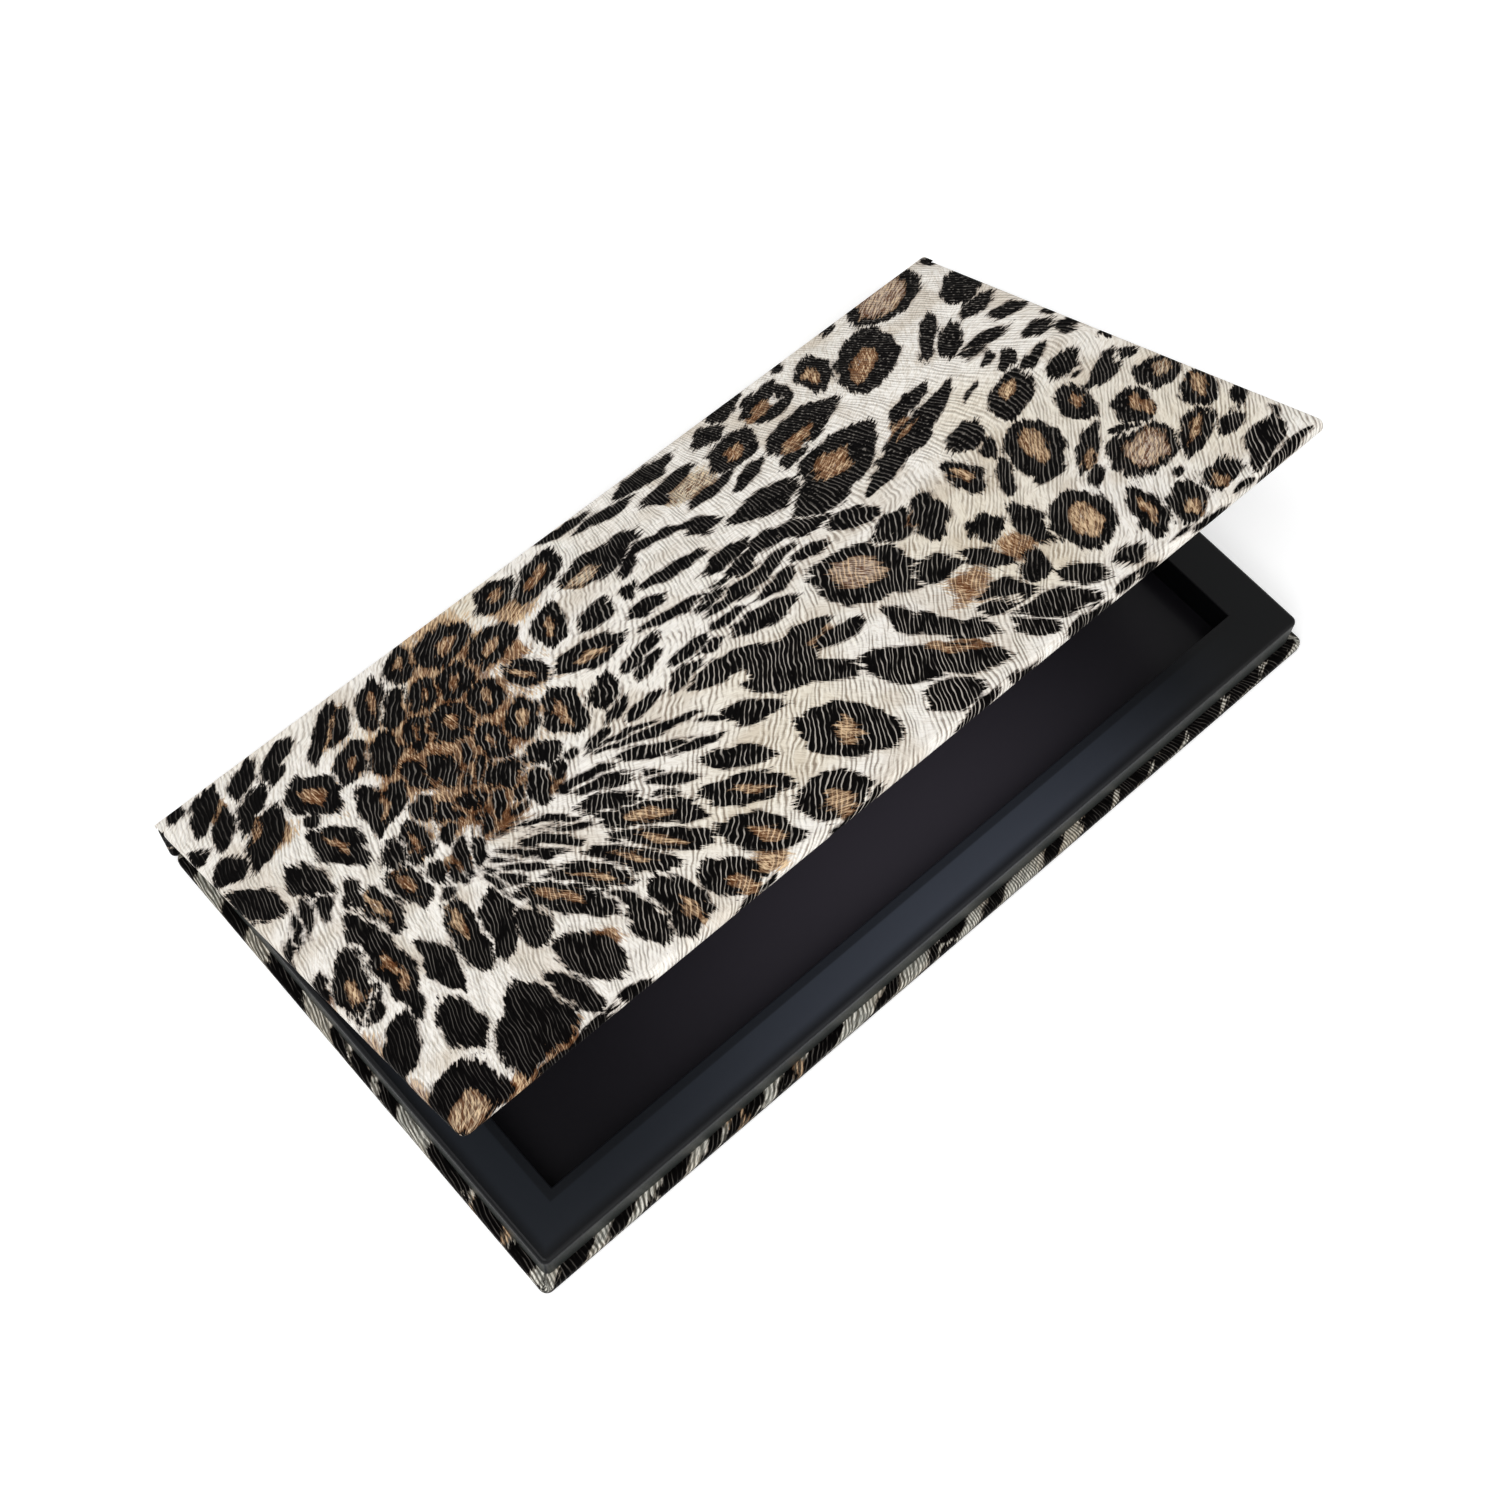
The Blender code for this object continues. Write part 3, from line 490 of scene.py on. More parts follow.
# In millimetres: the lid's sheet, how far a place of the grain's table reaches, the ridges' pitch, the
# map's step and how far it goes past the lid; the least gap between spots, how far the edges of a spot
# and of a heart reach, the distance that stands for none near, the step that slopes are measured over,
# and the pitch of the spots that follow a rule.
LID_SHEET = (185, 105)
GRAIN_REACH = 16.0
GRAIN_PITCH = 0.72
GRAIN_STEP = 0.5
GRAIN_MARGIN = 16.0
GROUND_GAP = 0.8
SPOT_REACH = 6.0
HEART_REACH = 3.0
FAR = 8.0
SLOPE_STEP = 0.35
RULE_PITCH = 9.5

# The tables were set along a sheet that is this much shorter from hinge to front.
TABLE_STRETCH = 0.988

# How much the spots grow, in millimetres, at places along the sheet.
GROWTH_PLACES = (30.0, 36.0, 52.0, 60.0, 90.0, 115.0, 135.0, 150.0)
GROWTH = (0.5, 0.75, 0.6, 0.3, 0.3, 0.35, 0.3, -0.15)


def soft_noise(x, y, scale, seed):
    """Smooth random values from -1 to 1 at these places, with features of about this scale."""
    size = 64
    lattice = np.random.default_rng(seed).uniform(-1, 1, (size, size))
    u, v = x / scale, y / scale
    i, j = np.floor(u).astype(int), np.floor(v).astype(int)
    f, g = u - i, v - j
    f, g = f * f * (3 - 2 * f), g * g * (3 - 2 * g)
    a, b = lattice[i % size, j % size], lattice[(i + 1) % size, j % size]
    c, d = lattice[i % size, (j + 1) % size], lattice[(i + 1) % size, (j + 1) % size]
    return (a * (1 - f) + b * f) * (1 - g) + (c * (1 - f) + d * f) * g


def smooth(low, high, values):
    """Values from low to high as 0 to 1, with soft ends."""
    share = np.clip((values - low) / (high - low), 0, 1)
    return share * share * (3 - 2 * share)


def oval(x, y, place_x, place_y, length, width, turn):
    """About how far places lie outside an oval, in millimetres."""
    cos, sin = math.cos(math.radians(turn)), math.sin(math.radians(turn))
    dx, dy = x - place_x, y - place_y
    along = (cos * dx - sin * dy) / (length / 2)
    over = (sin * dx + cos * dy) / (width / 2)
    over = over / (1 - 0.3 * np.minimum(along**2, 1.0))
    near = np.sqrt(along**2 + over**2)
    steep = np.sqrt((along / (length / 2)) ** 2 + (over / (width / 2)) ** 2)
    return near * (near - 1) / np.maximum(steep, 1e-6)


def places_near(x, y, mark, reach):
    """The places that lie near a spot or a heart."""
    reach += mark[2] / 2
    return np.flatnonzero((abs(x - mark[0]) < reach) & (abs(y - mark[1]) < reach))


def spots_here(x, y, design):
    """Distance to the nearest black edge, its roughness, ring fills and fur direction at these places."""
    seed = design.seed
    warp_x, warp_y = (
        flat + 0.7 * soft_noise(x, y, 5.0, seed + more) + 0.5 * soft_noise(x, y, 1.9, seed + more + 1)
        for flat, more in ((x, 0), (y, 2))
    )
    first, second = np.full(len(x), FAR), np.full(len(x), FAR)
    owner = np.full(len(x), -1)
    fill = np.zeros((len(x), 4))
    way = np.zeros((len(x), 2))
    rough = np.ones(len(x))
    group = -1
    for *spot, joined in ((*row[:5], len(row) > 5) for row in design.spots):
        group += not joined
        near = places_near(x, y, spot, SPOT_REACH)
        if not len(near):
            continue
        edge = oval(warp_x[near], warp_y[near], *spot)
        same = owner[near] == group
        closer = edge < first[near]
        pushed = np.minimum(second[near], np.where(same, FAR, edge))
        second[near] = np.where(closer & ~same, first[near], pushed)
        first[near] = np.where(closer, edge, first[near])
        rough[near] = np.where(closer, np.clip(spot[3] / 4, 0.4, 1.0), rough[near])
        owner[near] = np.where(closer, group, owner[near])
        double = 2 * math.radians(spot[4])
        weight = np.exp(-np.maximum(edge, 0) / 1.5)
        way[near] += weight[:, None] * (math.cos(double), math.sin(double))
    grow = np.interp(x, GROWTH_PLACES, GROWTH)
    ink = np.maximum(first - grow, (GROUND_GAP - (second - first)) / 2)
    for *heart, colour in design.hearts:
        near = places_near(x, y, heart, HEART_REACH)
        edge = oval(warp_x[near], warp_y[near], *heart)
        ink[near] = np.maximum(ink[near], -edge)
        amount = smooth(1.4, 0.2, edge)
        keep = amount > fill[near, 3]
        fill[near[keep], :3] = FILLS[colour]
        fill[near[keep], 3] = amount[keep]
    return ink, rough, fill, way


def print_at(sheet, design):
    """Everything that the print's material reads, for places on the flat sheet."""
    x, y = sheet[:, 0], sheet[:, 1] / TABLE_STRETCH
    seed = design.seed
    ink, rough, fill, way = spots_here(x, y, design)
    ink_x, *_ = spots_here(x + SLOPE_STEP, y, design)
    ink_y, *_ = spots_here(x, y + SLOPE_STEP, design)
    slope = np.stack([ink_x - ink, ink_y - ink], 1) / SLOPE_STEP
    slope /= np.maximum(np.linalg.norm(slope, axis=1, keepdims=True), 1e-6)
    double = 2 * math.radians(design.ground_way)
    way += 0.05 * np.array([math.cos(double), math.sin(double)])
    way /= np.maximum(np.linalg.norm(way, axis=1, keepdims=True), 1e-6)
    turn = np.arctan2(way[:, 1], way[:, 0]) / 2
    along = slope[:, 0] * np.cos(turn) - slope[:, 1] * np.sin(turn)
    fray = rough * (0.3 + 0.7 * abs(along) ** 1.5)
    warm = smooth(-0.2, 0.9, soft_noise(x, y, 22.0, seed + 9))[:, None]
    coat = np.array(design.ground[0]) * warm + np.array(design.ground[1]) * (1 - warm)
    dusk = 0.42 * smooth(0.0, 0.8, soft_noise(x, y, 6.5, seed + 21))[:, None]
    coat = coat * (1 - dusk) + np.array(DUSKY_FUR) * dusk
    wander = 1 + 0.3 * soft_noise(x, y, 3.0, seed + 15)
    layers = [
        (smooth(radius * 1.25, radius * 0.25, np.hypot(x - patch_x, y - patch_y) * wander), FILLS[colour])
        for patch_x, patch_y, radius, colour in design.patches
    ]
    layers.append((fill[:, 3], fill[:, :3]))
    tint, rich = np.zeros((len(x), 3)), np.zeros(len(x))
    for amount, colour in layers:
        rich = np.maximum(rich, amount)
        share = (amount / np.maximum(rich, 1e-6))[:, None]
        tint = tint * (1 - share) + np.array(colour) * share
    return {"ink": ink, "coat": coat, "tint": np.column_stack([tint, rich]), "way": way, "fray": fray}


def grain_here(x, y):
    """The grain's direction in radians and its strength, from the given values near each place."""
    total, strength, weights = np.zeros_like(x), np.zeros_like(x), np.zeros_like(x)
    for place_x, place_y, degrees, strong in GRAIN:
        far = np.hypot(x - place_x, y - place_y)
        weight = np.exp(-((far / GRAIN_REACH) ** 2)) + 1e-6
        total += weight * math.radians(degrees)
        strength += weight * strong
        weights += weight
    return total / weights, strength / weights


def integrate(slope_x, slope_y):
    """The surface whose slopes come nearest to these, on a grid with unit steps."""
    top = np.concatenate([slope_x, -slope_x[:, ::-1]], 1)
    wide_x = np.concatenate([top, top[::-1]], 0)
    top = np.concatenate([slope_y, slope_y[:, ::-1]], 1)
    wide_y = np.concatenate([top, -top[::-1]], 0)
    rows, columns = wide_x.shape
    k_x = 2 * np.pi * np.fft.fftfreq(columns)[None, :]
    k_y = 2 * np.pi * np.fft.fftfreq(rows)[:, None]
    square = k_x**2 + k_y**2
    square[0, 0] = 1.0
    found = (-1j * k_x * np.fft.fft2(wide_x) - 1j * k_y * np.fft.fft2(wide_y)) / square
    found[0, 0] = 0.0
    return np.real(np.fft.ifft2(found))[: slope_x.shape[0], : slope_x.shape[1]]


def grain_maps():
    """Maps over the flat sheet: count of ridges crossed, distance along them in ridge pitches, strength."""
    x, y = (np.arange(-GRAIN_MARGIN, size + GRAIN_MARGIN, GRAIN_STEP) for size in LID_SHEET)
    grid_x, grid_y = np.meshgrid(x, y)
    turn, strength = grain_here(grid_x, grid_y)
    turn += 0.16 * soft_noise(grid_x, grid_y, 9.0, 71)
    scale = GRAIN_STEP / GRAIN_PITCH
    slope_x, slope_y = np.cos(turn) * scale, -np.sin(turn) * scale
    return x, y, integrate(-slope_y, slope_x), integrate(slope_x, slope_y), strength


GRAIN_MAPS = grain_maps()


def look_up(grid_x, grid_y, values, x, y):
    """A map's values at these places, blended from the four nearest."""
    u = np.clip((x - grid_x[0]) / GRAIN_STEP, 0, len(grid_x) - 1.001)
    v = np.clip((y - grid_y[0]) / GRAIN_STEP, 0, len(grid_y) - 1.001)
    i, j = u.astype(int), v.astype(int)
    f, g = u - i, v - j
    low = values[j, i] * (1 - f) + values[j, i + 1] * f
    high = values[j + 1, i] * (1 - f) + values[j + 1, i + 1] * f
    return low * (1 - g) + high * g


def dress(piece, sheet, design):
    """Gives a piece the values that the print's material reads; sheet carries the hatch's strength third."""
    made = print_at(sheet, design)
    grid_x, grid_y, *maps = GRAIN_MAPS
    grain = [look_up(grid_x, grid_y, values, sheet[:, 0], sheet[:, 1]) for values in maps]
    grain[2] = np.maximum(grain[2], design.least_grain)
    ones = np.ones(len(sheet))
    store(piece, "ink", "FLOAT", made["ink"])
    store(piece, "coat", "FLOAT_COLOR", np.column_stack([made["coat"], ones]))
    store(piece, "tint", "FLOAT_COLOR", made["tint"])
    store(piece, "way", "FLOAT_VECTOR", np.column_stack([made["way"], made["fray"]]))
    store(piece, "grain", "FLOAT_VECTOR", np.column_stack(grain))
    store(piece, "sheet", "FLOAT_VECTOR", np.column_stack([sheet, design.hatch * ones]))


class Shader:
    """A material's node tree, with short calls for the nodes that it uses."""

    def __init__(self, name):
        self.made = bpy.data.materials.new(name)
        self.made.use_nodes = True
        self.tree = self.made.node_tree
        self.surface = self.tree.nodes["Principled BSDF"]

    def node(self, kind, inputs=(), **settings):
        made = self.tree.nodes.new(kind)
        for key, value in settings.items():
            setattr(made, key, value)
        for key, value in dict(inputs).items():
            self.give(made.inputs[key], value)
        return made

    def give(self, socket, value):
        """Links a node's output to the socket, or sets the socket to a plain value."""
        if isinstance(value, bpy.types.NodeSocket):
            self.tree.links.new(value, socket)
        elif socket.type == "RGBA":
            socket.default_value = (*value, 1.0)
        else:
            socket.default_value = value

    def attribute(self, name, output="Fac"):
        return self.node("ShaderNodeAttribute", attribute_name=name).outputs[output]

    def place(self):
        return self.node("ShaderNodeTexCoord").outputs["Object"]

    def math(self, operation, *values):
        return self.node("ShaderNodeMath", enumerate(values), operation=operation).outputs[0]

    def times(self, first, *others):
        for other in others:
            first = self.math("MULTIPLY", first, other)
        return first

    def vector(self, operation, first, second, output="Vector"):
        inputs = {0: first, 1: second}
        return self.node("ShaderNodeVectorMath", inputs, operation=operation).outputs[output]

    def join(self, x, y, z):
        return self.node("ShaderNodeCombineXYZ", {"X": x, "Y": y, "Z": z}).outputs[0]

    def split(self, vector):
        return self.node("ShaderNodeSeparateXYZ", {"Vector": vector}).outputs

    def noise(self, vector, scale, detail=2.0, roughness=0.5):
        inputs = {"Vector": vector, "Scale": scale, "Detail": detail, "Roughness": roughness}
        return self.node("ShaderNodeTexNoise", inputs).outputs["Fac"]

    def centred(self, *noise):
        return self.math("SUBTRACT", self.noise(*noise), 0.5)

    def ramp(self, value, low, high, to_low=0.0, to_high=1.0, kind="SMOOTHSTEP"):
        inputs = {"Value": value, "From Min": low, "From Max": high, "To Min": to_low, "To Max": to_high}
        return self.node("ShaderNodeMapRange", inputs, interpolation_type=kind).outputs["Result"]

    def mix(self, share, first, second, blend="MIX"):
        inputs = {0: share, 6: first, 7: second}
        return self.node("ShaderNodeMix", inputs, data_type="RGBA", blend_type=blend).outputs[2]

    def bump(self, height, distance):
        inputs = {"Height": height, "Distance": distance, "Strength": 1.0}
        return self.node("ShaderNodeBump", inputs).outputs["Normal"]

    def set(self, **values):
        for key, value in values.items():
            self.give(self.surface.inputs[key.replace("_", " ")], value)
        return self.made


def hair_noise(shader, place, way, along_scale, across_scale):
    """Noise drawn out along the fur's direction, blended from a few fixed directions."""
    ways, apart = 6, 7.7
    limit = math.cos(2 * math.pi / ways)
    total = 0.0
    for index in range(ways):
        turn = math.pi * index / ways
        cos, sin = math.cos(turn), math.sin(turn)
        along = shader.times(shader.vector("DOT_PRODUCT", place, (cos, -sin, 0), "Value"), along_scale)
        across = shader.times(shader.vector("DOT_PRODUCT", place, (sin, cos, 0), "Value"), across_scale)
        streak = shader.centred(shader.join(along, across, index * apart), 1.0, 2.0, 0.6)
        double = (math.cos(2 * turn), math.sin(2 * turn), 0)
        match = shader.vector("DOT_PRODUCT", way, double, "Value")
        weight = shader.ramp(match, limit, 1.0, kind="LINEAR")
        total = shader.math("ADD", total, shader.times(streak, weight))
    return total


def print_material():
    """Embossed leatherette: printed fur under wavy ridges, with painted shade in their grooves and painted
    highlights on their crests.
    """
    shader = Shader("leopard_leatherette")
    ramp, times, mix = shader.ramp, shader.times, shader.mix
    place = shader.attribute("sheet", "Vector")
    sheet_x, sheet_y, hatch = shader.split(place)
    way = shader.attribute("way", "Vector")
    fray = shader.split(way)["Z"]
    hair = hair_noise(shader, place, way, 0.45, 3.4)
    locks = hair_noise(shader, place, way, 0.22, 1.1)
    frayed = shader.math("ADD", times(hair, 5.0), times(locks, 4.6))
    edge = shader.math("ADD", shader.attribute("ink"), times(frayed, fray))
    edge = shader.math("ADD", edge, times(shader.centred(place, 1.6), 0.6))

    # The ridges: how high they stand, and the painted shade and painted highlights that they put on fur and
    # black.
    ridge, length, strength = shader.split(shader.attribute("grain", "Vector"))
    sway = shader.centred(shader.join(times(ridge, 0.2), times(length, 0.1), 0.0), 1.0)
    count = shader.math("ADD", ridge, times(sway, 3.0))
    wave = shader.math("MULTIPLY_ADD", shader.math("SINE", times(count, 2 * math.pi)), 0.5, 0.5)
    broken = ramp(shader.noise(shader.join(times(count, 0.5), times(length, 0.16), 3.0), 1.15), 0.35, 0.6)
    relief = times(wave, shader.math("MULTIPLY_ADD", broken, 0.6, 0.4))
    lined = times(broken, strength)
    groove_shade = times(ramp(wave, 0.5, 0.05), lined)
    crest_highlight = times(ramp(wave, 0.72, 0.98), lined)
    # Painted glints: bright lines on the crests over black, and short flecks towards the lid's right; fewer
    # where the hatch is.
    painted_glint = times(ramp(wave, 0.8, 1.0), broken, 0.85, shader.math("POWER", strength, 3.0))
    flecks = ramp(shader.noise(shader.join(count, times(length, 0.8), 9.0), 1.7), 0.52, 0.66)
    flecks = times(flecks, 0.34, ramp(wave, 0.35, 0.9), ramp(strength, 0.9, 0.5), ramp(sheet_x, 90.0, 130.0))
    painted_glint = times(shader.math("MAXIMUM", painted_glint, flecks), shader.math("MULTIPLY_ADD", hatch, -0.8, 1.0))

    # The fur's colour: its ground, then each layer over it as (share, colour).
    tinted = shader.attribute("tint", "Alpha")
    edged = shader.math("ADD", tinted, shader.math("ADD", times(hair, 1.8), locks))
    rich = times(ramp(edged, 0.3, 0.75), ramp(tinted, 0.02, 0.2))
    fur = mix(times(rich, 0.95), shader.attribute("coat", "Color"), shader.attribute("tint", "Color"))
    flat = shader.math("MULTIPLY_ADD", strength, -0.45, 1.0)
    for share, colour in (
        (times(ramp(hair, -0.1, 0.2, 0.0, 0.55), flat), mix(1.0, fur, FUR_SHADE, "MULTIPLY")),
        (times(ramp(hair, 0.04, 0.14), rich, 0.8), GOLD_HAIR),
        (times(ramp(hair, 0.03, -0.07), rich, 0.95), UMBER_HAIR),
        (times(ramp(edge, 1.5, 0.1), rich, 0.75), RING_SHADE),
        (ramp(edge, 0.65, 0.1, 0.0, 0.42), FRINGE),
        # Painted shade in the grain's grooves.
        (times(groove_shade, 0.72), GROOVE_SHADE),
        # Painted highlights on the grain's crests, golden over the ring fills.
        (times(crest_highlight, 0.78), mix(rich, CREST_HIGHLIGHT, GOLD_CREST_HIGHLIGHT)),
        # Painted shade in the grooves of the base's edges.
        (times(ramp(wave, 0.62, 0.3), hatch, 0.7), HATCH_GROOVE_SHADE),
        (times(ramp(hair, 0.03, -0.08), hatch, 0.6), COMBED),
        # The black marks, with painted glints over them.
        (ramp(edge, 0.3, -0.2), mix(painted_glint, BLACK_FUR, BLACK_GLINT)),
        (times(ramp(sheet_y, -1.1, -0.85), ramp(sheet_y, 0.6, 0.3), hatch, 0.8), EDGE_LINE),
    ):
        fur = mix(share, fur, colour)
    height = shader.math("ADD", relief, times(shader.noise(place, 4.5), 0.12))
    return shader.set(
        Base_Color=fur,
        Roughness=ramp(relief, 0.0, 1.0, 0.58, 0.42, kind="LINEAR"),
        Normal=shader.bump(height, 0.15 * MM),
        Specular_IOR_Level=0.01,
    )


def gloss_material(name, middle, left, right):
    """Satin black coated paper with a painted sheen, lighter along its middle and darker towards its ends,
    with a faint orange peel and paper tooth.
    """
    shader = Shader(name)
    place = shader.place()
    tooth = shader.noise(place, 2600.0, 3.0, 0.6)
    height = shader.math("ADD", shader.noise(place, 450.0), shader.times(tooth, 0.25))
    # The painted sheen: the base colour goes from left to middle to right along x, with a wandering edge.
    wander = shader.times(shader.centred(place, 22.0), 14 * MM)
    length = shader.math("ADD", shader.split(place)["X"], wander)
    colour = shader.mix(shader.ramp(length, -85 * MM, 5 * MM), left, middle)
    shader.set(
        Base_Color=shader.mix(shader.ramp(length, 15 * MM, 84 * MM), colour, right),
        Roughness=shader.ramp(tooth, 0.3, 0.7, 0.4, 0.5, kind="LINEAR"),
        Normal=shader.bump(height, 0.006 * MM),
        Specular_IOR_Level=0.07,
        Coat_Weight=0.12,
        Coat_Roughness=0.2,
    )
    return shader


def cover_material():
    """The tray's paper, with its painted sheen: painted shade darker along its rims, and a painted grey
    sheen down its outer walls that darkens towards their top as painted shade.
    """
    shader = gloss_material("tray_paper", srgb(54, 58, 67), srgb(26, 29, 34), srgb(5, 6, 7))
    math_node, ramp, times = shader.math, shader.ramp, shader.times
    low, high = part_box("tray_cover")
    well_low, well_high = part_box("well_lining")
    wide, deep, tall = shader.split(shader.place())
    side = math_node("ABSOLUTE", wide)
    down = math_node("SUBTRACT", high.z, tall)
    out = math_node("MAXIMUM", math_node("SUBTRACT", side, high.x), math_node("SUBTRACT", low.y, deep))
    front, back = math_node("SUBTRACT", well_low.y, deep), math_node("SUBTRACT", deep, well_high.y)
    past = math_node("MAXIMUM", front, back)
    past = math_node("MAXIMUM", past, math_node("SUBTRACT", side, well_high.x))
    # Painted shade: darker along the top of the outer rim, and from near the well's edge down into the well.
    rim = times(ramp(out, -3.0 * MM, -0.7 * MM), ramp(down, 1.3 * MM, 0.6 * MM), 0.85)
    well_rim_shade = times(ramp(past, 2.1 * MM, 1.7 * MM), 0.6)
    # Painted sheen on the outer walls: greyer than the paper, and darker towards their top as painted shade.
    wall = times(ramp(out, -0.3 * MM, -0.1 * MM), ramp(down, 0.9 * MM, 1.6 * MM))
    paper = shader.surface.inputs["Base Color"].links[0].from_socket
    rim_shaded = shader.mix(math_node("MAXIMUM", rim, well_rim_shade), paper, srgb(6, 6, 7))
    outside = shader.mix(ramp(down, 1.0 * MM, 5.0 * MM), srgb(25, 28, 27), srgb(40, 43, 41))
    return shader.set(Base_Color=shader.mix(wall, rim_shaded, outside))


def paper_material():
    """Satin black lining paper with fine fibres."""
    shader = Shader("black_lining_paper")
    place = shader.place()
    fibres = shader.noise(place, 1800.0, 4.0, 0.65)
    return shader.set(
        Base_Color=shader.mix(shader.noise(place, 60.0), srgb(22, 22, 24), srgb(32, 32, 34)),
        Roughness=shader.ramp(fibres, 0.3, 0.7, 0.5, 0.68, kind="LINEAR"),
        Normal=shader.bump(fibres, 0.02 * MM),
        Specular_IOR_Level=0.2,
    )


def greyboard_material():
    """Raw greyboard: matt grey-brown pulp with flecks, and layers on its cut edges."""
    shader = Shader("greyboard")
    place = shader.place()
    layers = shader.noise(shader.vector("MULTIPLY", place, (300.0, 300.0, 5200.0)), 1.0, 3.0)
    flecks = shader.times(shader.ramp(shader.noise(place, 2100.0, 3.0, 0.7), 0.6, 0.75), 0.5)
    pulp = shader.mix(layers, srgb(139, 132, 122), srgb(165, 157, 146))
    colour = shader.mix(flecks, pulp, srgb(96, 90, 82))
    return shader.set(Base_Color=colour, Roughness=0.9, Normal=shader.bump(layers, 0.05 * MM))


def rubber_material():
    """Flexible magnet sheet: matt dark brown, with a fine grit."""
    shader = Shader("magnet_rubber")
    grit = shader.noise(shader.place(), 2400.0, 3.0)
    colour = shader.mix(grit, srgb(44, 40, 38), srgb(58, 52, 48))
    return shader.set(Base_Color=colour, Roughness=0.72, Normal=shader.bump(grit, 0.03 * MM))


def nickel_material():
    """Nickel plate with fine scuffs."""
    shader = Shader("nickel_plate")
    scuffs = shader.noise(shader.place(), 900.0, 4.0, 0.7)
    return shader.set(
        Base_Color=shader.mix(scuffs, srgb(186, 182, 176), srgb(206, 203, 198)),
        Roughness=shader.ramp(scuffs, 0.3, 0.7, 0.18, 0.34, kind="LINEAR"),
        Metallic=1.0,
    )


def rule_print(low, high, seed, turn):
    """Spots and ring fills laid by rule over a stretch of sheet that the photograph doesn't show."""
    draw = np.random.default_rng(seed)
    spots, hearts = [], []
    for row in range(int((high[1] - low[1]) / RULE_PITCH) + 1):
        for column in range(int((high[0] - low[0]) / RULE_PITCH) + 1):
            x = low[0] + (column + 0.5 * (row % 2)) * RULE_PITCH + draw.uniform(-2, 2)
            y = low[1] + row * RULE_PITCH + draw.uniform(-2, 2)
            length, width = draw.uniform(9, 14), draw.uniform(5, 8.5)
            lean = turn + draw.uniform(-25, 25)
            spots.append((x, y, length, width, lean))
            if width > 6:
                colour = str(draw.choice(["brown", "tan", "brown"]))
                hearts.append((x + 0.4, y, 0.5 * length, 0.3 * width, lean, colour))
    return spots, hearts


# The base's front and left edges, whose sheet coordinates run from the underside up: like SPOTS.
EDGE_MARKS = [
    (6.8, -2.9, 18, 3.3, 32), (17, -2.9, 20, 1.7, 32), (28.6, -2.9, 18, 2.3, 34),
    (37.2, -2.9, 18, 0.8, 38), (42.4, -2.9, 8, 0.5, 30), (46.8, -2.9, 18, 1.3, 38),
    (54.2, -2.9, 18, 1.2, 38), (62.8, -2.9, 18, 3.5, 34), (77.8, -2.9, 18, 2.1, 32),
    (89.8, -3.2, 14, 1.3, 30), (96, -4.6, 12, 2.2, 12, "+"), (104.6, -3.2, 14, 1.6, 30),
    (108.5, -4.7, 10, 1.8, 14, "+"), (119, -2.9, 16, 1.8, 32), (131, -2.9, 18, 4.4, 30),
    (140.5, -2.9, 18, 4, 28), (150, -3.2, 18, 4.6, 24), (159.5, -2.9, 16, 4.4, 24),
    (169, -3.3, 18, 4.8, 24), (178.5, -2.8, 16, 4.6, 24), (-2.9, 7.6, 7, 4.5, 60), (-2.9, 16, 10, 4, 66),
    (-2.9, 26.5, 14, 4.4, 74), (-3.4, 44, 9, 2.2, 62), (-2.6, 50.5, 10, 2.2, 64), (-3.2, 57, 8, 1.8, 64),
    (-2.9, 73, 15, 4.4, 72), (-2.9, 88, 9, 3.4, 66), (-2.9, 102, 8, 4, 66),
]
EDGE_PATCHES = [(43.5, -3, 3.4, "dun"), (57.5, -3, 3, "dun"), (-2.9, 16, 6, "brown")]


def base_print():
    """The base's print: by rule underneath and on the two hidden edges, from the table on the others."""
    spots, hearts = rule_print((4, 5), (181, 101), 5, 60)
    spots += EDGE_MARKS
    spots += [(x, 108.5, 12, 8, 64) for x in range(6, 184, 10)]
    spots += [(188, y, 13, 4.8, -58) for y in range(6, 106, 8)]
    return Print(spots, hearts, EDGE_PATCHES, 23, 60, SILVER_FUR, least_grain=0.9, hatch=1.0)


def make_panels():
    """The wraps of the lid, the base and the spine."""
    low, high = local_box("lid_wrap", LID)
    place = LID @ axes((low.x, high.y, high.z), (1, 0, 0), (0, -1, 0), (0, 0, -1))
    lid = Panel("lid_skin", *(high - low), place, (0.0, -high.y), LID_PITCH)
    low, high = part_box("base_wrap")
    place = axes((low.x, low.y, low.z), (1, 0, 0), (0, 1, 0), (0, 0, 1))
    base = Panel("base_skin", *(high - low), place, (0.0, 0.0), BASE_PITCH)
    _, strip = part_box("hinge_strip")
    low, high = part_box("spine_wrap")
    place = axes((low.x, high.y, 0.0), (1, 0, 0), (0, 0, 1), (0, -1, 0))
    spine = Panel(
        name="spine_skin",
        width=high.x - low.x,
        height=AXIS.z,
        depth=high.y - strip.y - SPINE_CLEARANCE,
        place=place,
        start=(0.0, -AXIS.z - SPINE_START),
        pitch=SPINE_PITCH,
        flap=SPINE_FLAP_WIDTH,
    )
    return lid, base, spine


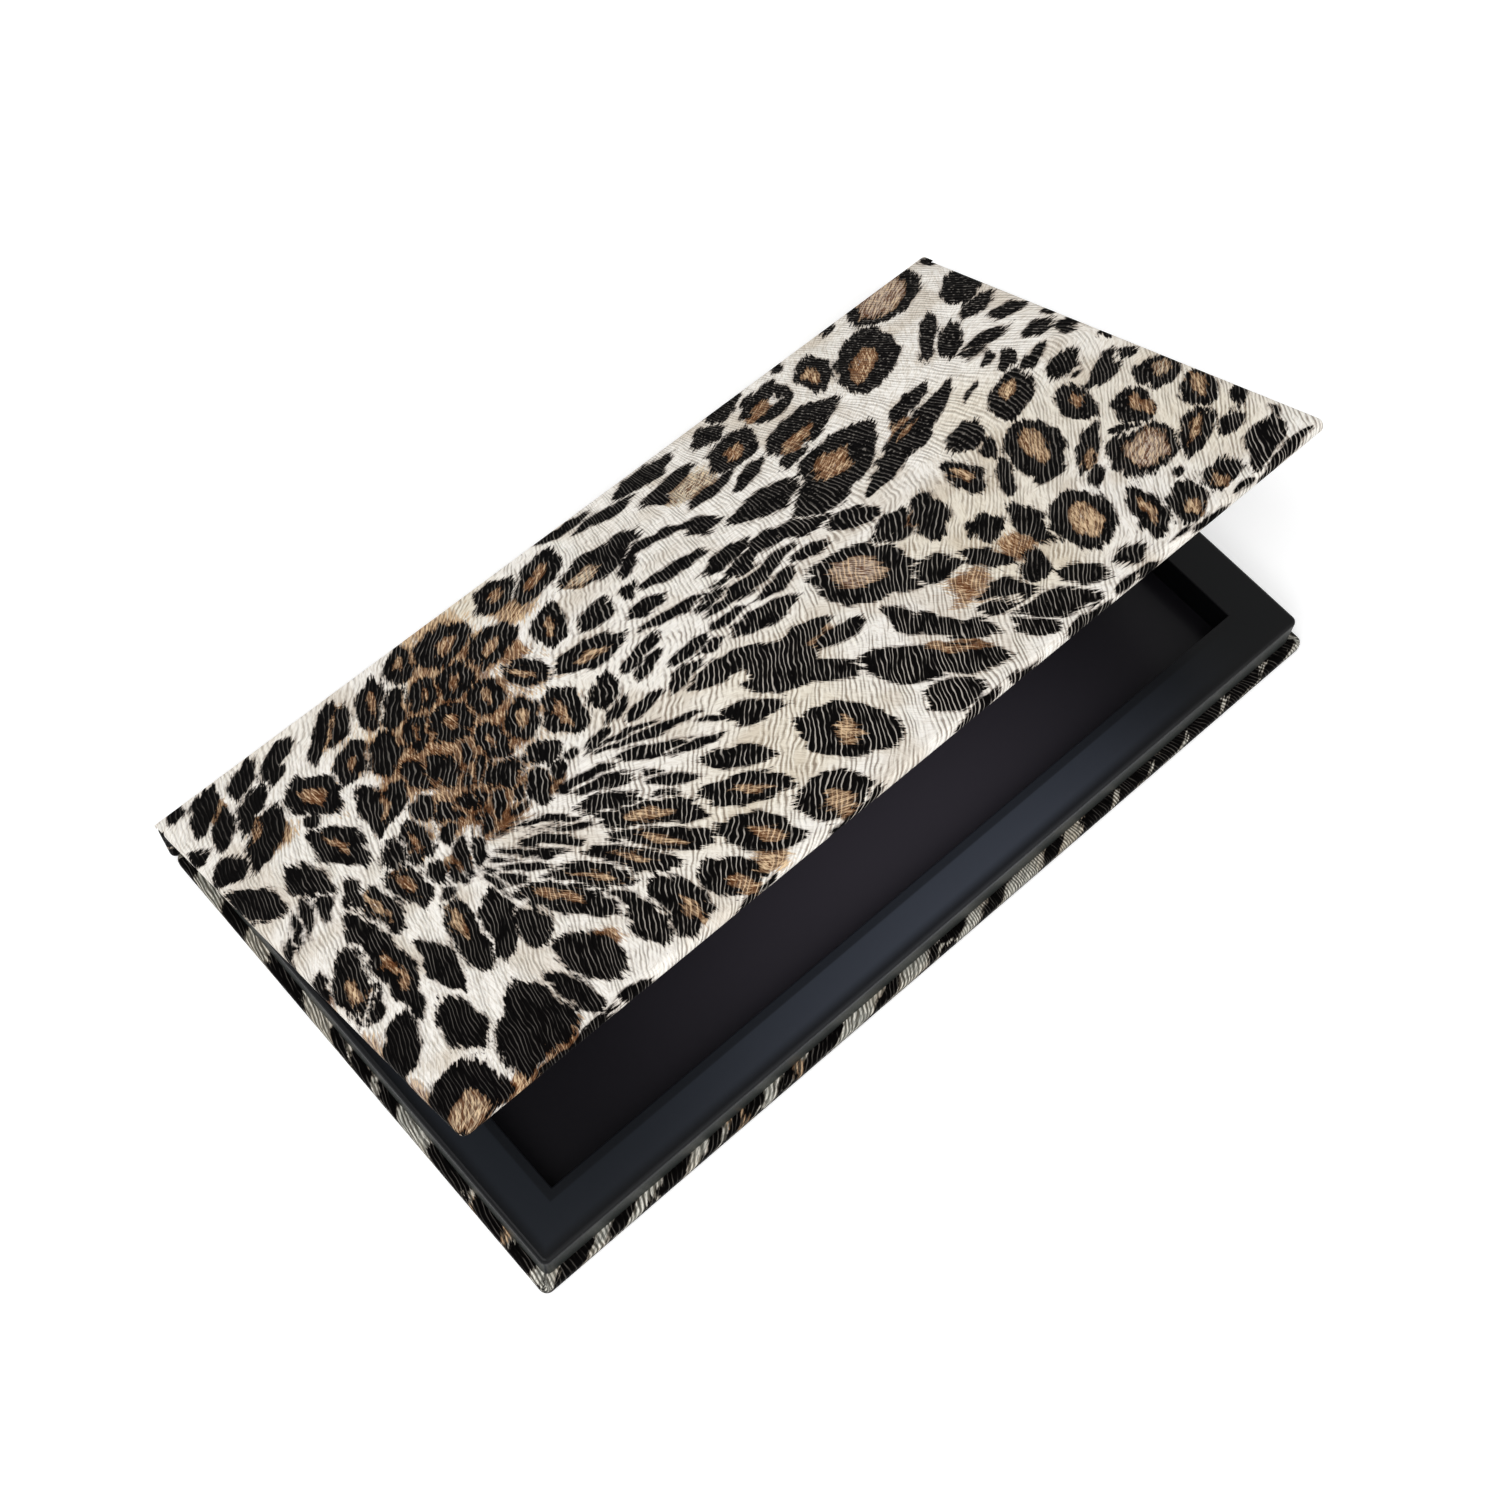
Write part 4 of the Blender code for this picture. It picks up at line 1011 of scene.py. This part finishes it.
def fold_mesh(line, runs, thickness, low, high, pitch):
    """A thin sheet along x that follows a line in y and z round the hinge, as one closed skin."""
    line, runs = np.array(line), np.array(runs)
    step = np.gradient(line, axis=0)
    normal = np.stack([-step[:, 1], step[:, 0]], 1) / np.linalg.norm(step, axis=1, keepdims=True)
    outward = ((line - np.array([AXIS.y, AXIS.z])) * normal).sum(1).mean()
    loop = np.concatenate([line, (line - normal * thickness * np.sign(outward))[::-1]])
    loop_runs = np.concatenate([runs, runs[::-1]])
    across = np.linspace(low, high, round((high - low) / pitch) + 1)
    count = len(loop)
    places = np.concatenate([np.column_stack([np.full(count, x), loop]) for x in across])
    sheet = np.concatenate([np.column_stack([np.full(count, x - low), loop_runs]) for x in across])
    faces = []
    for first in range(0, (len(across) - 1) * count, count):
        for row in range(count):
            a, b = first + row, first + (row + 1) % count
            faces.append((a, b, b + count, a + count))
    faces.append(tuple(range(count))[::-1])
    faces.append(tuple(range((len(across) - 1) * count, len(across) * count)))
    return places, sheet / MM, faces


def on_arc(radius, degrees):
    """A place in y and z round the hinge's axis."""
    turn = math.radians(degrees)
    return AXIS.y + radius * math.cos(turn), AXIS.z + radius * math.sin(turn)


def on_lid(y, z):
    """A place in y and z that is given in the lid's own axes."""
    place = LID @ Vector((0.0, y, z))
    return place.y, place.z


def add_fold(name, line, runs, thickness, pitch, look):
    """Adds a sheet that bends from the base to the lid."""
    low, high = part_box("spine_wrap")
    places, sheet, faces = fold_mesh(line, runs, thickness, low.x, high.x, pitch)
    piece = new_piece(name, places, faces)
    mesh = bmesh.new()
    mesh.from_mesh(piece.data)
    bmesh.ops.recalc_face_normals(mesh, faces=mesh.faces)
    mesh.to_mesh(piece.data)
    mesh.free()
    piece.data.materials.append(look)
    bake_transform(piece)
    return piece, sheet


def add_folds(print_look, lining):
    """The wrap's bend over the hinge, and the black paper that lines it."""
    _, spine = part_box("spine_wrap")
    _, wrap_high = local_box("lid_wrap", LID)
    radius = wrap_high.z
    lid_turn = 90 + math.degrees(LID.to_euler().x)
    line, runs = [], []
    for below in (0.9 * MM, 0.45 * MM):
        line.append((spine.y, AXIS.z - below))
        runs.append(-below - radius * math.radians(lid_turn))
    for share in np.linspace(0, 1, FOLD_STEPS + 1):
        line.append(on_arc(radius, lid_turn * share))
        runs.append(-radius * math.radians(lid_turn * (1 - share)))
    for y in (-0.6 * MM, -1.2 * MM, -1.8 * MM, wrap_high.y - EDGE_RADIUS):
        line.append(on_lid(y, radius))
        runs.append(-y)
    skin, sheet = add_fold(
        "hinge_skin", line, runs, FOLD_THICKNESS, SPINE_PITCH, print_look
    )
    dress(skin, sheet, LID_PRINT)

    strip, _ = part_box("hinge_strip")
    under, _ = local_box("lid_lining", LID)
    line = [(strip.y, AXIS.z - 2.0 * MM), (strip.y, AXIS.z - 1.6 * MM)]
    first, last = LINING_FIRST_TURN, 90 + lid_turn + LINING_PAST_LID
    near, far = LINING_RADII
    for share in np.linspace(0, 1, LINING_STEPS + 1):
        line.append(on_arc(near + (far - near) * share, first + (last - first) * share))
    for y in (-2.2 * MM, -3.0 * MM, -4.2 * MM):
        line.append(on_lid(y, under.z - 0.02 * MM))
    runs = np.zeros(len(line))
    add_fold(
        "hinge_lining", line, runs, LINING_THICKNESS, LINING_PITCH, lining
    )


def add_panel(panel, look, body, node, design):
    """Adds a wrap in the place of its solid."""
    places, sheet, faces = panel_mesh(panel)
    piece = new_piece(panel.name, places, faces)
    dress(piece, sheet, design)
    piece.data.materials.append(look)
    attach(piece, body)
    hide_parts(node)


def paint(look, *names):
    """Gives solids their material."""
    for name in names:
        mesh = NODES[name].data
        mesh.materials.clear()
        mesh.materials.append(look)


def shown_rays(tree):
    """1 for the rays that show the pale background: from the camera, or by way of gloss or glass."""
    path = tree.nodes.new("ShaderNodeLightPath")
    shown = path.outputs["Is Camera Ray"]
    for kind in ("Is Glossy Ray", "Is Transmission Ray"):
        either = tree.nodes.new("ShaderNodeMath")
        either.operation = "MAXIMUM"
        tree.links.new(shown, either.inputs[0])
        tree.links.new(path.outputs[kind], either.inputs[1])
        shown = either.outputs[0]
    return shown


def make_studio():
    """Pale floor, white surroundings and soft lamps."""
    world = bpy.data.worlds.new("studio")
    bpy.context.scene.world = world
    world.use_nodes = True
    tree = world.node_tree
    background = tree.nodes["Background"]
    background.inputs["Color"].default_value = (1.0, 1.0, 1.0, 1.0)
    strength = tree.nodes.new("ShaderNodeMapRange")
    strength.inputs["To Min"].default_value = WORLD_LIGHT
    strength.inputs["To Max"].default_value = 1.0
    tree.links.new(shown_rays(tree), strength.inputs["Value"])
    tree.links.new(strength.outputs["Result"], background.inputs["Strength"])

    bpy.ops.mesh.primitive_plane_add(size=FLOOR_SIZE, location=(0, 0, 0))
    floor = bpy.context.object
    floor.name = "floor"
    shader = Shader("pale_floor")
    glow = shader.times(shown_rays(shader.tree), FLOOR_GLOW)
    look = shader.set(
        Base_Color=FLOOR_COLOUR, Roughness=0.9, Emission_Color=(1.0, 1.0, 1.0), Emission_Strength=glow
    )
    floor.data.materials.append(look)

    for name, place, size, power in LAMPS:
        lamp = bpy.data.lights.new(name, "AREA")
        lamp.size = size
        lamp.energy = power
        made = bpy.data.objects.new(name, lamp)
        made.location = place
        made.rotation_euler = (-Vector(place)).to_track_quat("-Z", "Y").to_euler()
        bpy.context.scene.collection.objects.link(made)


def make_camera():
    """The camera that the photograph was taken with."""
    azimuth, elevation, roll = CAMERA_AZIMUTH, CAMERA_ELEVATION, CAMERA_ROLL
    level = math.cos(elevation)
    back = Vector((math.sin(azimuth) * level, -math.cos(azimuth) * level, math.sin(elevation)))
    right = Vector((0, 0, 1)).cross(back).normalized()
    up = back.cross(right)
    rolled_right = math.cos(roll) * right + math.sin(roll) * up
    rolled_up = -math.sin(roll) * right + math.cos(roll) * up
    camera = bpy.data.cameras.new("camera")
    camera.sensor_width = SENSOR_WIDTH
    camera.lens = FOCAL_PIXELS / PHOTO_WIDTH * SENSOR_WIDTH
    made = bpy.data.objects.new("camera", camera)
    made.matrix_world = axes(CAMERA_TARGET + CAMERA_DISTANCE * back, rolled_right, rolled_up, back)
    bpy.context.scene.collection.objects.link(made)
    bpy.context.scene.camera = made


bpy.context.scene.view_settings.view_transform = "Standard"
make_camera()
make_studio()

print_look = print_material()
lining = paper_material()
board = greyboard_material()
paint(cover_material(), "tray_cover")
# The well's paper, with a painted sheen lighter along its middle.
well_paper = gloss_material("well_paper", srgb(54, 51, 58), srgb(16, 15, 18), srgb(14, 13, 16))
paint(well_paper.made, "well_lining")
paint(lining, "lid_lining", "hinge_strip")
paint(board, "base_board", "lid_board", "spine_board")
paint(board, "frame_layer_lower", "frame_layer_middle", "frame_layer_upper")
paint(rubber_material(), "magnet_sheet")
paint(nickel_material(), "lid_magnet_left", "lid_magnet_right", "tray_magnet_left", "tray_magnet_right")

lid_panel, base_panel, spine_panel = make_panels()
spine_print = Print(*rule_print((-2, -16), (187, 0), 7, 75), [], 37, 75)
add_panel(lid_panel, print_look, "lid", "lid_wrap", LID_PRINT)
add_panel(base_panel, print_look, "base", "base_wrap", base_print())
add_panel(spine_panel, print_look, "base", "spine_wrap", spine_print)
add_folds(print_look, lining)
